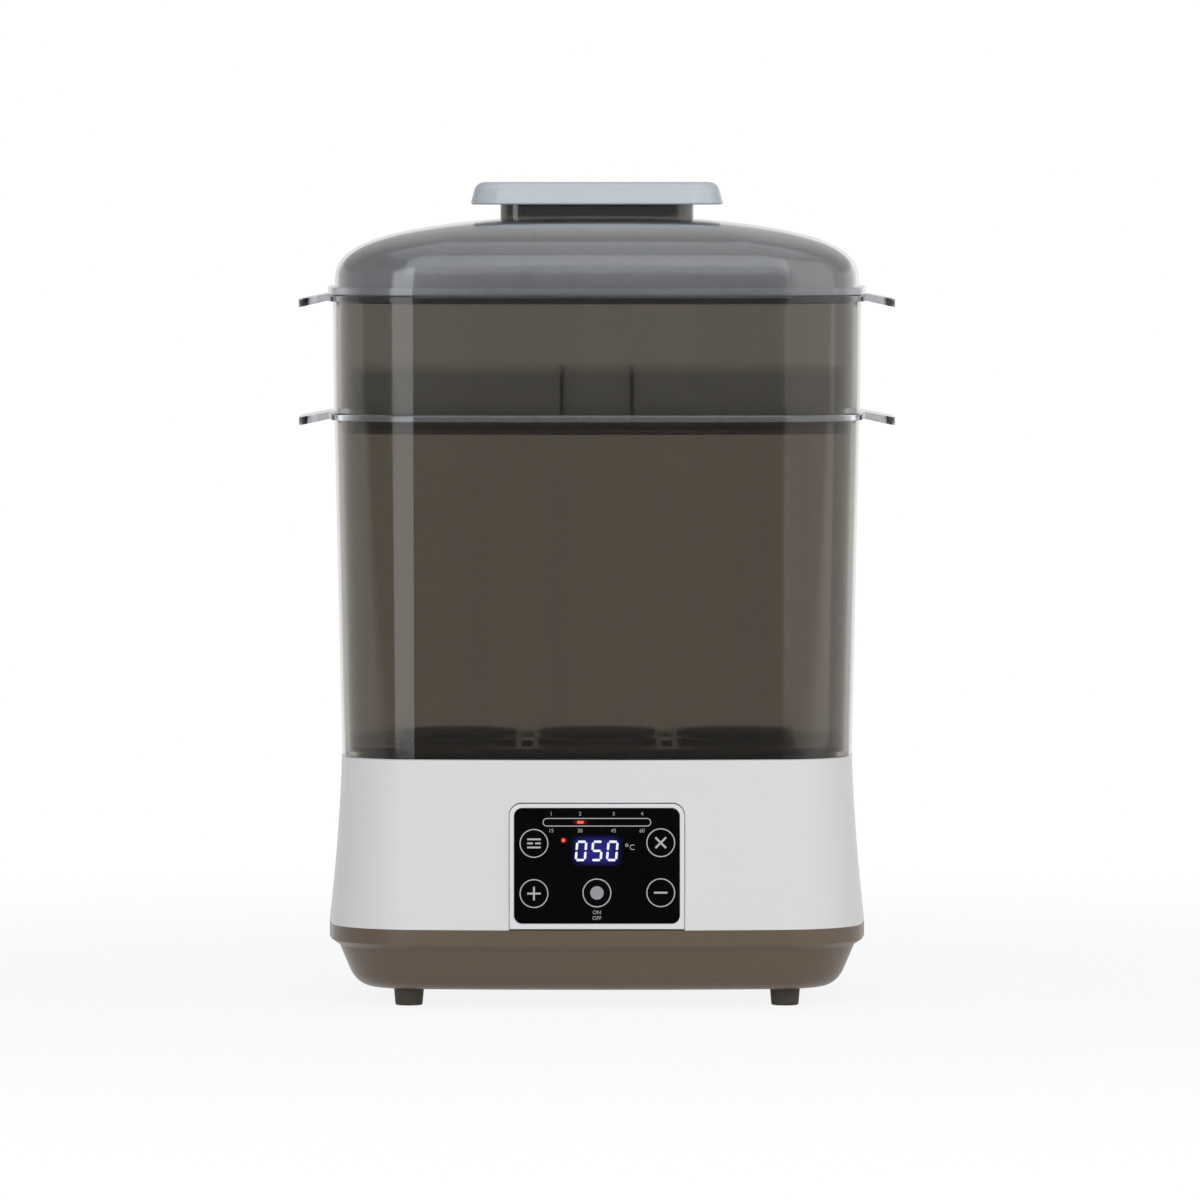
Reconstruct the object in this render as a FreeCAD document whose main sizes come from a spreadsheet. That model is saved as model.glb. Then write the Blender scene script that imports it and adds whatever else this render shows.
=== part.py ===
import FreeCAD
import Part
import math
import os
import re
import Sketcher

# Countertop steam steriliser and dryer: a heated base with a touch panel, a bottle chamber, an upper tray
# and a domed lid. The front is -Y, +X is to the right, +Z is up and the feet stand on Z = 0.
# Every plan outline in the stack is the same bowed, round-cornered rectangle, drawn in by an inset.

SIZES = {
    # Shared plan outline, where the housing meets the pan
    "base_width": 246.8,
    "base_depth": 180.0,
    "corner_radius": 42.0,
    "front_bow_radius": 800.0,
    "side_bow_radius": 500.0,
    # Heights of the stacked pieces
    "foot_height": 8.0,
    "pan_height": 28.5,
    "housing_height": 77.3,
    "chamber_height": 156.8,
    "tray_height": 54.2,
    "lid_rim_height": 3.3,
    "dome_height": 32.4,
    "grip_gap": 5.2,
    "grip_height": 10.3,
    # General clearances
    "nest_gap": 0.5,
    "fit_gap": 0.15,
    "seat_gap": 0.3,
    # Bottom pan
    "pan_wall": 2.6,
    "pan_floor": 3.0,
    "pan_floor_inset": 11.9,
    "pan_floor_radius": 11.0,
    "pan_wall_inset": 3.9,
    "pan_band_height": 7.0,
    "pan_step_height": 2.6,
    "pan_lip_height": 3.0,
    "lip_gap": 0.8,
    "lip_break_depth": 12.0,
    "pan_boss_height": 16.0,
    "pan_boss_radius": 6.4,
    "screw_recess": 9.0,
    # Feet
    "foot_from_side": 37.4,
    "foot_from_front": 35.0,
    "foot_radius": 6.9,
    "foot_tip_radius": 6.2,
    "foot_plug_radius": 3.0,
    "foot_plug_height": 4.5,
    "foot_edge_radius": 0.8,
    # Housing screws
    "screw_x": 72.0,
    "screw_y": 58.0,
    "screw_radius": 1.75,
    "screw_head_radius": 3.6,
    "screw_head_height": 2.6,
    "screw_length": 20.0,
    "post_radius": 5.0,
    # Base housing
    "housing_wall": 2.6,
    "flare_inset": 3.7,
    "waist_inset": 5.75,
    "housing_edge": 0.9,
    "basin_depth": 10.5,
    "deck_thickness": 2.5,
    "ledge_thickness": 2.0,
    "ledge_reach": 2.4,
    # Control bezel and glass
    "panel_tilt": 4.4,
    "bezel_width": 79.4,
    "bezel_height": 57.6,
    "bezel_depth": 5.0,
    "bezel_corner_radius": 5.4,
    "bezel_gap": 0.25,
    "bezel_rest": 0.65,
    "panel_width": 75.2,
    "panel_height": 52.4,
    "panel_corner_radius": 3.8,
    "panel_thickness": 2.3,
    "panel_proud": 0.3,
    "panel_edge_radius": 0.24,
    "panel_bottom": 3.2,
    "panel_ledge": 3.6,
    "board_thickness": 1.6,
    "board_margin": 1.6,
    "display_width": 34.0,
    "display_height": 16.0,
    "display_rise": 31.0,
    "touch_pad_radius": 4.6,
    "key_side_x": 28.8,
    "key_low_rise": 14.4,
    "key_high_rise": 36.8,
    "board_screw_radius": 1.0,
    "board_screw_head_radius": 1.9,
    "board_screw_head_height": 1.3,
    "board_screw_length": 4.4,
    "board_screw_inset": 3.4,
    # Heating plate and what hangs under it
    "plate_x": -14.0,
    "plate_margin": 14.0,
    "plate_flange_width": 6.0,
    "plate_flange_thickness": 2.2,
    "plate_bowl_depth": 13.0,
    "plate_wall": 2.6,
    "plate_floor": 3.2,
    "gasket_lip": 1.5,
    "gasket_reach": 4.0,
    "gasket_web": 2.5,
    "heater_ring_radius": 44.0,
    "heater_tube_radius": 3.3,
    "heater_flat": 1.4,
    "heater_sweep": 300.0,
    "heater_pin_radius": 1.6,
    "heater_pin_length": 12.0,
    "heater_pin_setback": 4.0,
    "thermostat_x": 16.0,
    "thermostat_radius": 8.0,
    "thermostat_height": 8.0,
    "thermostat_flange_radius": 9.6,
    "thermostat_flange": 1.4,
    "fuse_y": 26.0,
    "fuse_radius": 2.2,
    "fuse_length": 18.0,
    "fuse_rise": 1.76,
    "fuse_foot_width": 9.0,
    "fuse_foot_thickness": 1.2,
    # Blower
    "fan_from_back": 56.0,
    "scroll_lift": 24.0,
    "scroll_height": 22.0,
    "scroll_wall": 1.8,
    "scroll_radius": 26.0,
    "scroll_growth": 5.0,
    "scroll_throat": 24.0,
    "scroll_mouth": 60.0,
    "scroll_tongue_angle": 42.0,
    "scroll_inlet_radius": 15.0,
    "scroll_leg_radius": 3.4,
    "scroll_leg_ring": 20.0,
    "cover_thickness": 2.0,
    "motor_radius": 16.0,
    "motor_height": 18.0,
    "motor_cap_radius": 9.0,
    "motor_cap_height": 3.0,
    "shaft_radius": 1.5,
    "shaft_gap": 0.05,
    "impeller_radius": 21.0,
    "impeller_height": 14.0,
    "impeller_disc": 1.6,
    "impeller_lift": 3.0,
    "impeller_hub_radius": 4.5,
    "blade_chord": 6.0,
    "blade_thickness": 0.9,
    "blade_lean": 2.0,
    "blade_count": 22,
    # Air duct, heater and outlet
    "outlet_from_side": 31.4,
    "duct_wall": 1.8,
    "duct_bend_radius": 24.0,
    "duct_corner_radius": 3.0,
    "ptc_height": 14.0,
    "ptc_flange": 1.5,
    "ptc_fin_count": 6,
    "ptc_fin_thickness": 1.12,
    "collar_height": 4.0,
    "collar_wall": 2.0,
    "cap_height": 4.2,
    "cap_overhang": 1.8,
    "cap_top": 1.6,
    "cap_slot_width": 2.6,
    "cap_slot_count": 3,
    # Power electronics
    "power_from_side": 35.4,
    "power_board_width": 34.0,
    "power_board_length": 84.0,
    "power_board_lift": 9.0,
    "standoff_radius": 3.0,
    "standoff_inset": 4.5,
    "transformer_width": 24.0,
    "transformer_length": 28.0,
    "transformer_height": 22.0,
    "transformer_y": -20.0,
    "relay_width": 16.0,
    "relay_length": 20.0,
    "relay_height": 16.0,
    "relay_y": 24.0,
    # Air filter in the back wall
    "filter_width": 68.0,
    "filter_height": 38.0,
    "filter_rise": 30.5,
    "filter_frame_wall": 2.0,
    "filter_frame_depth": 22.0,
    "filter_cover_depth": 9.0,
    "filter_pad_depth": 9.5,
    "filter_pad_gap": 0.5,
    "louvre_height": 2.4,
    "louvre_count": 5,
    "louvre_margin": 7.0,
    "pull_notch_width": 16.0,
    "pull_notch_depth": 2.2,
    "pull_notch_wall": 3.0,
    # Cord gland in the back wall
    "gland_x": -52.0,
    "gland_rise": 14.0,
    "gland_bore_radius": 3.6,
    "gland_body_radius": 5.4,
    "gland_flange_radius": 7.6,
    "gland_flange": 3.0,
    "gland_seat_depth": 7.5,
    "gland_boss_radius": 10.0,
    "gland_boss_length": 9.0,
    "gland_nut_width": 16.0,
    "gland_nut_height": 4.0,
    # Bottle chamber
    "chamber_wall": 2.4,
    "chamber_rim_inset": 2.3,
    "chamber_skirt_height": 7.0,
    "skirt_wall": 2.2,
    "shoulder_thickness": 2.4,
    "rim_height": 3.2,
    "rim_overhang": 2.2,
    "rim_edge_radius": 1.0,
    # Lugs on both tiers
    "lug_length": 13.6,
    "lug_width": 62.0,
    "lug_thickness": 3.7,
    "lug_droop": 2.6,
    "lug_corner_radius": 9.0,
    # Bottle rack
    "rack_thickness": 2.4,
    "rack_ring_radius": 27.0,
    "rack_ring_wall": 2.0,
    "rack_ring_height": 3.0,
    "rack_ring_pitch_x": 64.0,
    "rack_ring_pitch_y": 66.0,
    "rack_hole_radius": 15.0,
    "rack_slot_width": 5.0,
    "rack_slot_length": 120.0,
    # Upper tray
    "tray_wall": 2.2,
    "tray_foot_inset": 2.05,
    "tray_rim_inset": 1.7,
    "tray_skirt_height": 9.0,
    "tray_floor": 2.2,
    "tray_slot_width": 6.0,
    "tray_slot_length": 96.0,
    "tray_slot_pitch": 16.0,
    "tray_slot_count": 11,
    # Divided rack in the upper tray
    "basket_gap": 0.6,
    "basket_wall": 1.8,
    "basket_floor": 1.8,
    "basket_height": 26.0,
    "divider_x": 16.0,
    "divider_thickness": 1.6,
    "divider_height": 23.4,
    "divider_reach": 58.0,
    "divider_corner_radius": 5.0,
    "basket_slot_width": 4.5,
    "basket_slot_length": 100.0,
    "basket_slot_pitch": 11.0,
    "basket_slot_count": 6,
    "basket_slot_start": 32.0,
    # Lid
    "lid_wall": 2.2,
    "lid_foot_inset": 2.6,
    "lid_turn": 84.0,
    "lid_skirt_height": 4.0,
    "lid_skirt_wall": 2.0,
    "crown_power_x": 3.1,
    "crown_power_y": 4.6,
    "neck_root_depth": 9.0,
    "neck_width": 89.0,
    "neck_depth": 27.0,
    "neck_corner_radius": 9.0,
    "neck_wall": 2.4,
    "neck_entry": 2.6,
    "vent_from_side": 24.4,
    "vent_length": 9.0,
    "vent_width": 3.4,
    "vent_pitch": 9.0,
    # Handle grip
    "grip_width": 116.5,
    "grip_depth": 58.0,
    "grip_corner_radius": 16.0,
    "grip_draft": 15.0,
    "grip_top_radius": 5.0,
    "grip_under_radius": 0.8,
    "boss_width": 70.0,
    "boss_depth": 18.0,
    "boss_corner_radius": 5.0,
    "grip_screw_x": 30.0,
    "grip_screw_radius": 1.6,
    "grip_screw_head_radius": 3.2,
    "grip_screw_head_height": 2.0,
    "grip_screw_length": 9.0,
}

doc = FreeCAD.newDocument("steam_steriliser")
sheet = doc.addObject("Spreadsheet::Sheet", "Sizes")
for row, (size_name, size_value) in enumerate(SIZES.items(), start=1):
    sheet.set(f"A{row}", size_name.replace("_", " "))
    sheet.set(f"B{row}", str(size_value))
    sheet.setAlias(f"B{row}", size_name)
doc.recompute()

# Levels of the stack, from the floor up
PAN_FLOOR = "(foot_height + pan_floor)"
PAN_BOSS_TOP = "(foot_height + pan_boss_height)"
SEAM = "(foot_height + pan_height)"
BASE_TOP = f"({SEAM} + housing_height)"
DECK_TOP = f"({BASE_TOP} - basin_depth)"
DECK_UNDER = f"({DECK_TOP} - deck_thickness)"
CHAMBER_TOP = f"({BASE_TOP} + chamber_height)"
TRAY_TOP = f"({CHAMBER_TOP} + tray_height)"
LID_RIM_TOP = f"({TRAY_TOP} + lid_rim_height)"
DOME_TOP = f"({LID_RIM_TOP} + dome_height)"
GRIP_UNDER = f"({DOME_TOP} + grip_gap)"
TRAY_FLOOR = f"({CHAMBER_TOP} - tray_skirt_height + tray_floor)"
PLATE_UNDER = f"({DECK_TOP} + gasket_lip - plate_bowl_depth)"
SCROLL_TOP = "(scroll_lift + scroll_height)"
COVER_TOP = f"({SCROLL_TOP} + cover_thickness)"
BACK = "(base_depth / 2)"
FOOT_X = "(base_width / 2 - foot_from_side)"
FOOT_Y = "(base_depth / 2 - foot_from_front)"
FAN_Y = "(base_depth / 2 - fan_from_back)"
OUTLET_X = "(base_width / 2 - outlet_from_side)"
POWER_X = "(power_from_side - base_width / 2)"
PLATE_RADIUS = "(base_depth / 2 - plate_margin)"
PLATE_HOLE = f"({PLATE_RADIUS} - plate_flange_width)"
LUG_REACH = "(base_width / 2 + lug_length)"
VENT_X = "(base_width / 2 - vent_from_side)"

# Insets of the nested walls
SKIRT_INSET = "(waist_inset + housing_wall + nest_gap)"
CHAMBER_DRAFT = "((waist_inset - chamber_rim_inset) * tray_skirt_height / chamber_height)"
TRAY_SKIRT_INSET = f"(chamber_rim_inset + chamber_wall + nest_gap + {CHAMBER_DRAFT})"
BASKET_INSET = f"({TRAY_SKIRT_INSET} + skirt_wall + basket_gap)"
LID_SKIRT_INSET = "(tray_rim_inset + tray_wall + nest_gap)"
LID_RIM_INSET = "(tray_rim_inset - rim_overhang)"

FORMULA_WORDS = {"sqrt", "sin", "cos", "atan"}
X_AXIS = FreeCAD.Vector(1, 0, 0)
Z_AXIS = FreeCAD.Vector(0, 0, 1)
ORIGIN = -1
START = 1
END = 2
CENTRE = 3
ALL_CORNERS = [(1, 1), (-1, 1), (-1, -1), (1, -1)]


# Formulas

def bound(formula):
    """The formula with each size name pointed at the sheet."""
    def pointed(match):
        word = match.group()
        return word if word in FORMULA_WORDS else "Sizes." + word
    return re.sub(r"[A-Za-z_]\w*", pointed, formula)


def number(formula):
    """The formula's value with the sizes as they stand."""
    return float(sheet.evalExpression(formula))


def bind(thing, sizes):
    """Ties properties of an object to formulas."""
    for name, formula in sizes.items():
        thing.setExpression(name, bound(formula))


# Sketches

def origin_feature(body, role):
    return next(item for item in body.Origin.OriginFeatures if item.Role == role)


def new_body(name):
    body = doc.addObject("PartDesign::Body", name)
    body.Label = name
    body.AllowCompound = True
    return body


def new_sketch(body, name, role="XY_Plane", level="0"):
    sketch = body.newObject("Sketcher::SketchObject", name)
    sketch.AttachmentSupport = [(origin_feature(body, role), "")]
    sketch.MapMode = "FlatFace"
    bind(sketch, {"AttachmentOffset.Base.z": level})
    return sketch


def measure(sketch, kind, *where):
    """Adds a dimension; the last item is its formula."""
    *geometry, formula = where
    index = sketch.addConstraint(Sketcher.Constraint(kind, *geometry, number(formula)))
    name = f"size_{index}"
    sketch.renameConstraint(index, name)
    bind(sketch, {"Constraints." + name: formula})


def pin_point(sketch, item, end, x, y):
    measure(sketch, "DistanceX", ORIGIN, START, item, end, x)
    measure(sketch, "DistanceY", ORIGIN, START, item, end, y)


def arc_between(start, end, radius, turn):
    """Arc under a half circle; turn is 1 for anticlockwise and -1 for clockwise."""
    chord = end - start
    middle = (start + end) * 0.5
    rise = math.sqrt(max(radius ** 2 - (chord.Length / 2) ** 2, 0.0))
    left = FreeCAD.Vector(-chord.y, chord.x, 0).normalize()
    centre = middle + left * (rise * turn)
    first, last = (start, end) if turn > 0 else (end, start)
    first_angle = math.atan2(first.y - centre.y, first.x - centre.x)
    last_angle = math.atan2(last.y - centre.y, last.x - centre.x)
    if last_angle < first_angle:
        last_angle += 2 * math.pi
    return Part.ArcOfCircle(Part.Circle(centre, Z_AXIS, radius), first_angle, last_angle)


def closed_profile(sketch, corners):
    """Closed outline. A corner is (x, y), or (x, y, radius, turn) where an arc leads to the next corner."""
    points = [FreeCAD.Vector(number(corner[0]), number(corner[1]), 0) for corner in corners]
    first_item = sketch.GeometryCount
    ends = []
    for index, corner in enumerate(corners):
        start = points[index]
        end = points[(index + 1) % len(points)]
        if len(corner) == 2:
            sketch.addGeometry(Part.LineSegment(start, end), False)
            ends.append((START, END))
        else:
            turn = corner[3]
            sketch.addGeometry(arc_between(start, end, number(corner[2]), turn), False)
            ends.append((START, END) if turn > 0 else (END, START))
    for index, corner in enumerate(corners):
        item = first_item + index
        after = (index + 1) % len(corners)
        joint = Sketcher.Constraint("Coincident", item, ends[index][1], first_item + after, ends[after][0])
        sketch.addConstraint(joint)
        pin_point(sketch, item, ends[index][0], corner[0], corner[1])
        if len(corner) > 2:
            measure(sketch, "Radius", item, corner[2])


def rectangle(sketch, left, right, low, high):
    closed_profile(sketch, [(left, low), (right, low), (right, high), (left, high)])


def rounded_rectangle(sketch, width, height, radius, x="0", y="0"):
    radius = f"({radius})"
    left, right = f"({x} - ({width}) / 2)", f"({x} + ({width}) / 2)"
    low, high = f"({y} - ({height}) / 2)", f"({y} + ({height}) / 2)"
    closed_profile(sketch, [
        (f"{left} + {radius}", low),
        (f"{right} - {radius}", low, radius, 1),
        (right, f"{low} + {radius}"),
        (right, f"{high} - {radius}", radius, 1),
        (f"{right} - {radius}", high),
        (f"{left} + {radius}", high, radius, 1),
        (left, f"{high} - {radius}"),
        (left, f"{low} + {radius}", radius, 1),
    ])


def circles(sketch, radius, places):
    for x, y in places:
        centre = FreeCAD.Vector(number(x), number(y), 0)
        item = sketch.addGeometry(Part.Circle(centre, Z_AXIS, number(radius)), False)
        pin_point(sketch, item, CENTRE, x, y)
        measure(sketch, "Radius", item, radius)


def four_places(x, y):
    return [(f"{across} * {x}", f"{along} * {y}") for across, along in ALL_CORNERS]


def corner_centre(width, depth, corner, front_bow, side_bow):
    """Centre of an outline's back right corner, where its arc meets the back and side bows in line."""
    back_y = number(f"{depth} / 2 - {front_bow}")
    side_x = number(f"{width} / 2 - {side_bow}")
    from_back = number(f"{front_bow} - {corner}")
    from_side = number(f"{side_bow} - {corner}")
    between = math.hypot(side_x, back_y)
    along = (between ** 2 + from_back ** 2 - from_side ** 2) / (2 * between)
    across = math.sqrt(from_back ** 2 - along ** 2)
    towards = FreeCAD.Vector(side_x, -back_y, 0) * (1 / between)
    outwards = FreeCAD.Vector(-back_y, -side_x, 0) * (1 / between)
    return FreeCAD.Vector(0, back_y, 0) + towards * along + outwards * across


def bowed_outline(body, name, level, width, depth, corner, front_bow, side_bow):
    """Closed outline of four bowed sides and four corner arcs, each in line with the next."""
    sketch = new_sketch(body, name, level=level)
    corner_at = corner_centre(width, depth, corner, front_bow, side_bow)
    back = FreeCAD.Vector(0, number(f"{depth} / 2 - {front_bow}"), 0)
    side = FreeCAD.Vector(number(f"{width} / 2 - {side_bow}"), 0, 0)
    low = math.atan2(corner_at.y, corner_at.x - side.x)
    high = math.atan2(corner_at.y - back.y, corner_at.x)
    half = math.pi
    across = FreeCAD.Vector(-corner_at.x, corner_at.y, 0)
    arcs = [
        (side, side_bow, -low, low),
        (corner_at, corner, low, high),
        (back, front_bow, high, half - high),
        (across, corner, half - high, half - low),
        (-side, side_bow, half - low, half + low),
        (-corner_at, corner, half + low, half + high),
        (-back, front_bow, half + high, 2 * half - high),
        (-across, corner, 2 * half - high, 2 * half - low),
    ]
    for centre, radius, first, last in arcs:
        circle = Part.Circle(centre, Z_AXIS, number(radius))
        sketch.addGeometry(Part.ArcOfCircle(circle, first, last), False)
    for item in range(len(arcs)):
        sketch.addConstraint(Sketcher.Constraint("Tangent", item, END, (item + 1) % len(arcs), START))
    for first, same in ((1, 3), (1, 5), (1, 7), (0, 4), (2, 6)):
        sketch.addConstraint(Sketcher.Constraint("Equal", first, same))
    for item in (0, 1, 2):
        measure(sketch, "Radius", item, arcs[item][1])
    pin_point(sketch, 0, CENTRE, f"{width} / 2 - {side_bow}", "0")
    pin_point(sketch, 2, CENTRE, "0", f"{depth} / 2 - {front_bow}")
    pin_point(sketch, 4, CENTRE, f"{side_bow} - {width} / 2", "0")
    pin_point(sketch, 6, CENTRE, "0", f"{front_bow} - {depth} / 2")
    return sketch


def plan_sizes(inset):
    """Width, depth, corner and bows of the stack's plan outline, drawn in by an inset."""
    return (
        f"(base_width - 2 * ({inset}))",
        f"(base_depth - 2 * ({inset}))",
        f"(corner_radius - ({inset}))",
        f"(front_bow_radius - ({inset}))",
        f"(side_bow_radius - ({inset}))",
    )


def plan_outline(body, name, level, inset):
    return bowed_outline(body, name, level, *plan_sizes(inset))


# Features

def pad(body, sketch, name, length, reverse=False):
    feature = body.newObject("PartDesign::Pad", name)
    feature.Profile = sketch
    feature.Reversed = reverse
    bind(feature, {"Length": length})
    return feature


def pocket(body, sketch, name, depth, reverse=False):
    feature = body.newObject("PartDesign::Pocket", name)
    feature.Profile = sketch
    feature.Reversed = reverse
    bind(feature, {"Length": depth})
    return feature


def loft(body, name, sections, kind="Additive", ruled=False):
    """Loft through plan outlines given as (level, inset)."""
    outlines = []
    for index, (level, inset) in enumerate(sections):
        outlines.append(plan_outline(body, f"{name}_section_{index}", level, inset))
    return loft_through(body, name, outlines, kind, ruled)


def loft_through(body, name, outlines, kind, ruled=False):
    feature = body.newObject(f"PartDesign::{kind}Loft", name)
    feature.Profile = outlines[0]
    feature.Sections = outlines[1:]
    feature.Ruled = ruled
    return feature


def plan_pad(body, name, level, inset, height):
    return pad(body, plan_outline(body, name + "_outline", level, inset), name, height)


def plan_pocket(body, name, level, inset, height):
    """Removes the outline's area from a level upwards."""
    return pocket(body, plan_outline(body, name + "_outline", level, inset), name, height, reverse=True)


def edges_where(shape, test):
    return [f"Edge{index}" for index, edge in enumerate(shape.Edges, start=1) if test(edge)]


def round_edges(body, base, name, radius, test):
    """Fillet on the edges of a feature that pass a test."""
    doc.recompute()
    feature = body.newObject("PartDesign::Fillet", name)
    feature.Base = (base, edges_where(base.Shape, test))
    bind(feature, {"Radius": radius})
    return feature


def lies_at(level):
    """Test for edges that lie flat at a level."""
    height = number(level)

    def test(edge):
        box = edge.BoundBox
        return abs(box.ZMin - height) < 0.01 and abs(box.ZMax - height) < 0.01
    return test


def row_of(body, feature, name, axis, length, count):
    """Evenly spaced copies along an axis, over a length."""
    pattern = body.newObject("PartDesign::LinearPattern", name)
    pattern.Originals = [feature]
    pattern.Direction = (origin_feature(body, axis), [""])
    bind(pattern, {"Length": length, "Occurrences": count})
    body.Tip = pattern
    return pattern


def ring_of(body, feature, name, count):
    """Evenly spaced copies round the body's Z axis."""
    pattern = body.newObject("PartDesign::PolarPattern", name)
    pattern.Originals = [feature]
    pattern.Axis = (origin_feature(body, "Z_Axis"), [""])
    pattern.Angle = 360
    bind(pattern, {"Occurrences": count})
    body.Tip = pattern
    return pattern


def mirror_across(body, feature, name, plane):
    mirrored = body.newObject("PartDesign::Mirrored", name)
    mirrored.Originals = [feature]
    mirrored.MirrorPlane = (origin_feature(body, plane), [""])
    body.Tip = mirrored
    return mirrored


def revolve(body, sketch, name, angle=None):
    """Turns an XZ sketch round the body's Z axis, or through an angle centred on the sketch."""
    feature = body.newObject("PartDesign::Revolution", name)
    feature.Profile = sketch
    feature.ReferenceAxis = (sketch, ["V_Axis"])
    if angle is None:
        feature.Angle = 360
    else:
        feature.Midplane = True
        bind(feature, {"Angle": angle})
    return feature


def place(thing, x="0", y="0", z="0"):
    bind(thing, {"Placement.Base.x": x, "Placement.Base.y": y, "Placement.Base.z": z})
    return thing


def place_on_panel(thing):
    """Puts a piece drawn upright on the sloping control face, whose foot is at the seam."""
    thing.Placement = FreeCAD.Placement(FreeCAD.Vector(), FreeCAD.Rotation(-X_AXIS, number("panel_tilt")))
    bind(thing, {"Placement.Rotation.Angle": "panel_tilt"})
    return place(thing, y="-base_depth / 2", z=SEAM)


def box(name, low, high):
    solid = doc.addObject("Part::Box", name)
    for axis, size, start, end in zip("xyz", ("Length", "Width", "Height"), low, high):
        bind(solid, {size: f"({end}) - ({start})", f"Placement.Base.{axis}": start})
    return solid


def rod_along_y(name, radius, x, z, start, end):
    """Cylinder along Y from start to end."""
    solid = doc.addObject("Part::Cylinder", name)
    solid.Placement = FreeCAD.Placement(FreeCAD.Vector(), FreeCAD.Rotation(-X_AXIS, 90))
    bind(solid, {"Radius": radius, "Height": f"({end}) - ({start})"})
    return place(solid, x, start, z)


def fused(name, pieces):
    joined = doc.addObject("Part::MultiFuse", name)
    joined.Shapes = pieces
    joined.Refine = True
    return joined


def cut_from(name, base, tools):
    remainder = doc.addObject("Part::Cut", name)
    remainder.Base = base
    remainder.Tool = tools[0] if len(tools) == 1 else fused(name + "_tools", tools)
    remainder.Refine = True
    return remainder


def shared_by(name, base, tool):
    overlap = doc.addObject("Part::Common", name)
    overlap.Base = base
    overlap.Tool = tool
    return overlap


# Bottom pan, feet and screws

def base_pan():
    pan = new_body("base_pan")
    band_level = f"({SEAM} - pan_band_height)"
    step_level = f"({band_level} - pan_step_height)"
    tub = loft(pan, "tub", [
        ("foot_height", "pan_floor_inset"),
        (step_level, "pan_wall_inset"),
        (band_level, "0"),
        (SEAM, "0"),
    ], ruled=True)
    round_edges(pan, tub, "underside_round", "pan_floor_radius", lies_at("foot_height"))
    plan_pad(pan, "lip", SEAM, "housing_wall + lip_gap", "pan_lip_height")
    cavity = loft(pan, "tub_inside", [
        (PAN_FLOOR, "pan_floor_inset + pan_wall"),
        (step_level, "pan_wall_inset + pan_wall"),
        (f"{SEAM} + pan_lip_height", "pan_wall_inset + pan_wall"),
    ], kind="Subtractive", ruled=True)
    round_edges(pan, cavity, "inside_round", "pan_floor_radius - pan_wall", lies_at(PAN_FLOOR))
    bosses = new_sketch(pan, "boss_circles", level="foot_height + pan_floor / 2")
    circles(bosses, "pan_boss_radius", four_places("screw_x", "screw_y"))
    pad(pan, bosses, "screw_bosses", "pan_boss_height - pan_floor / 2")
    standoffs = new_sketch(pan, "standoff_circles", level="foot_height + pan_floor / 2")
    circles(standoffs, "standoff_radius", power_board_corners())
    pad(pan, standoffs, "board_standoffs", "pan_floor / 2 + power_board_lift")
    recesses = new_sketch(pan, "recess_circles", level="foot_height")
    circles(recesses, "screw_head_radius + fit_gap", four_places("screw_x", "screw_y"))
    pocket(pan, recesses, "screw_recesses", "screw_recess", reverse=True)
    holes = new_sketch(pan, "hole_circles", level="foot_height")
    circles(holes, "screw_radius + fit_gap", four_places("screw_x", "screw_y"))
    pocket(pan, holes, "screw_holes", "pan_boss_height", reverse=True)
    sockets = new_sketch(pan, "socket_circles", level="foot_height")
    circles(sockets, "foot_plug_radius + fit_gap", four_places(FOOT_X, FOOT_Y))
    pocket(pan, sockets, "foot_sockets", "foot_plug_height + pan_floor", reverse=True)
    gap = new_sketch(pan, "lip_gap_outline", level=SEAM)
    rectangle(gap, "-bezel_width / 2 - lip_gap", "bezel_width / 2 + lip_gap",
              "-base_depth / 2", "lip_break_depth - base_depth / 2")
    pocket(pan, gap, "lip_gap_behind_bezel", "pan_lip_height", reverse=True)
    return pan


def feet():
    body = new_body("feet")
    soles = new_sketch(body, "soles", level="foot_height")
    circles(soles, "foot_radius", four_places(FOOT_X, FOOT_Y))
    cones = pad(body, soles, "cones", "foot_height", reverse=True)
    bind(cones, {"TaperAngle": "atan((foot_tip_radius - foot_radius) / foot_height)"})
    plugs = new_sketch(body, "plug_circles", level="foot_height")
    circles(plugs, "foot_plug_radius", four_places(FOOT_X, FOOT_Y))
    whole = pad(body, plugs, "plugs", "foot_plug_height")
    round_edges(body, whole, "sole_round", "foot_edge_radius", lies_at("0"))
    return body


def housing_screws():
    body = new_body("housing_screws")
    head_top = "(foot_height + screw_recess)"
    heads = new_sketch(body, "head_circles", level=f"{head_top} - screw_head_height")
    circles(heads, "screw_head_radius", four_places("screw_x", "screw_y"))
    pad(body, heads, "heads", "screw_head_height")
    shanks = new_sketch(body, "shank_circles", level=head_top)
    circles(shanks, "screw_radius", four_places("screw_x", "screw_y"))
    pad(body, shanks, "shanks", "screw_length")
    return body


# Base housing with its filter pocket and cord boss, and the deck that closes its top

HOUSING_EDGE = f"({BASE_TOP} - housing_edge)"
HOUSING_SECTIONS = [
    (SEAM, "0"),
    (f"{SEAM} + housing_height / 2", "flare_inset"),
    (HOUSING_EDGE, "waist_inset"),
]
LEDGE_UNDER = f"({DECK_UNDER} - ledge_thickness)"
DUCT_WIDTH = "scroll_throat"
DUCT_HEIGHT = "scroll_height"
DUCT_INNER_WIDTH = "(scroll_throat - 2 * duct_wall)"
DUCT_INNER_HEIGHT = "(scroll_height - 2 * duct_wall)"
DUCT_Y = f"({FAN_Y} - scroll_radius - 4 * scroll_growth + scroll_throat / 2)"
FILTER_LOW = f"({SEAM} + filter_rise - filter_height / 2)"
FILTER_HIGH = f"({SEAM} + filter_rise + filter_height / 2)"
FRAME_BACK = f"({BACK} - filter_frame_depth)"
COVER_FACE = f"({BACK} - filter_cover_depth)"
GLAND_Z = f"({SEAM} + gland_rise)"
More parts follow.
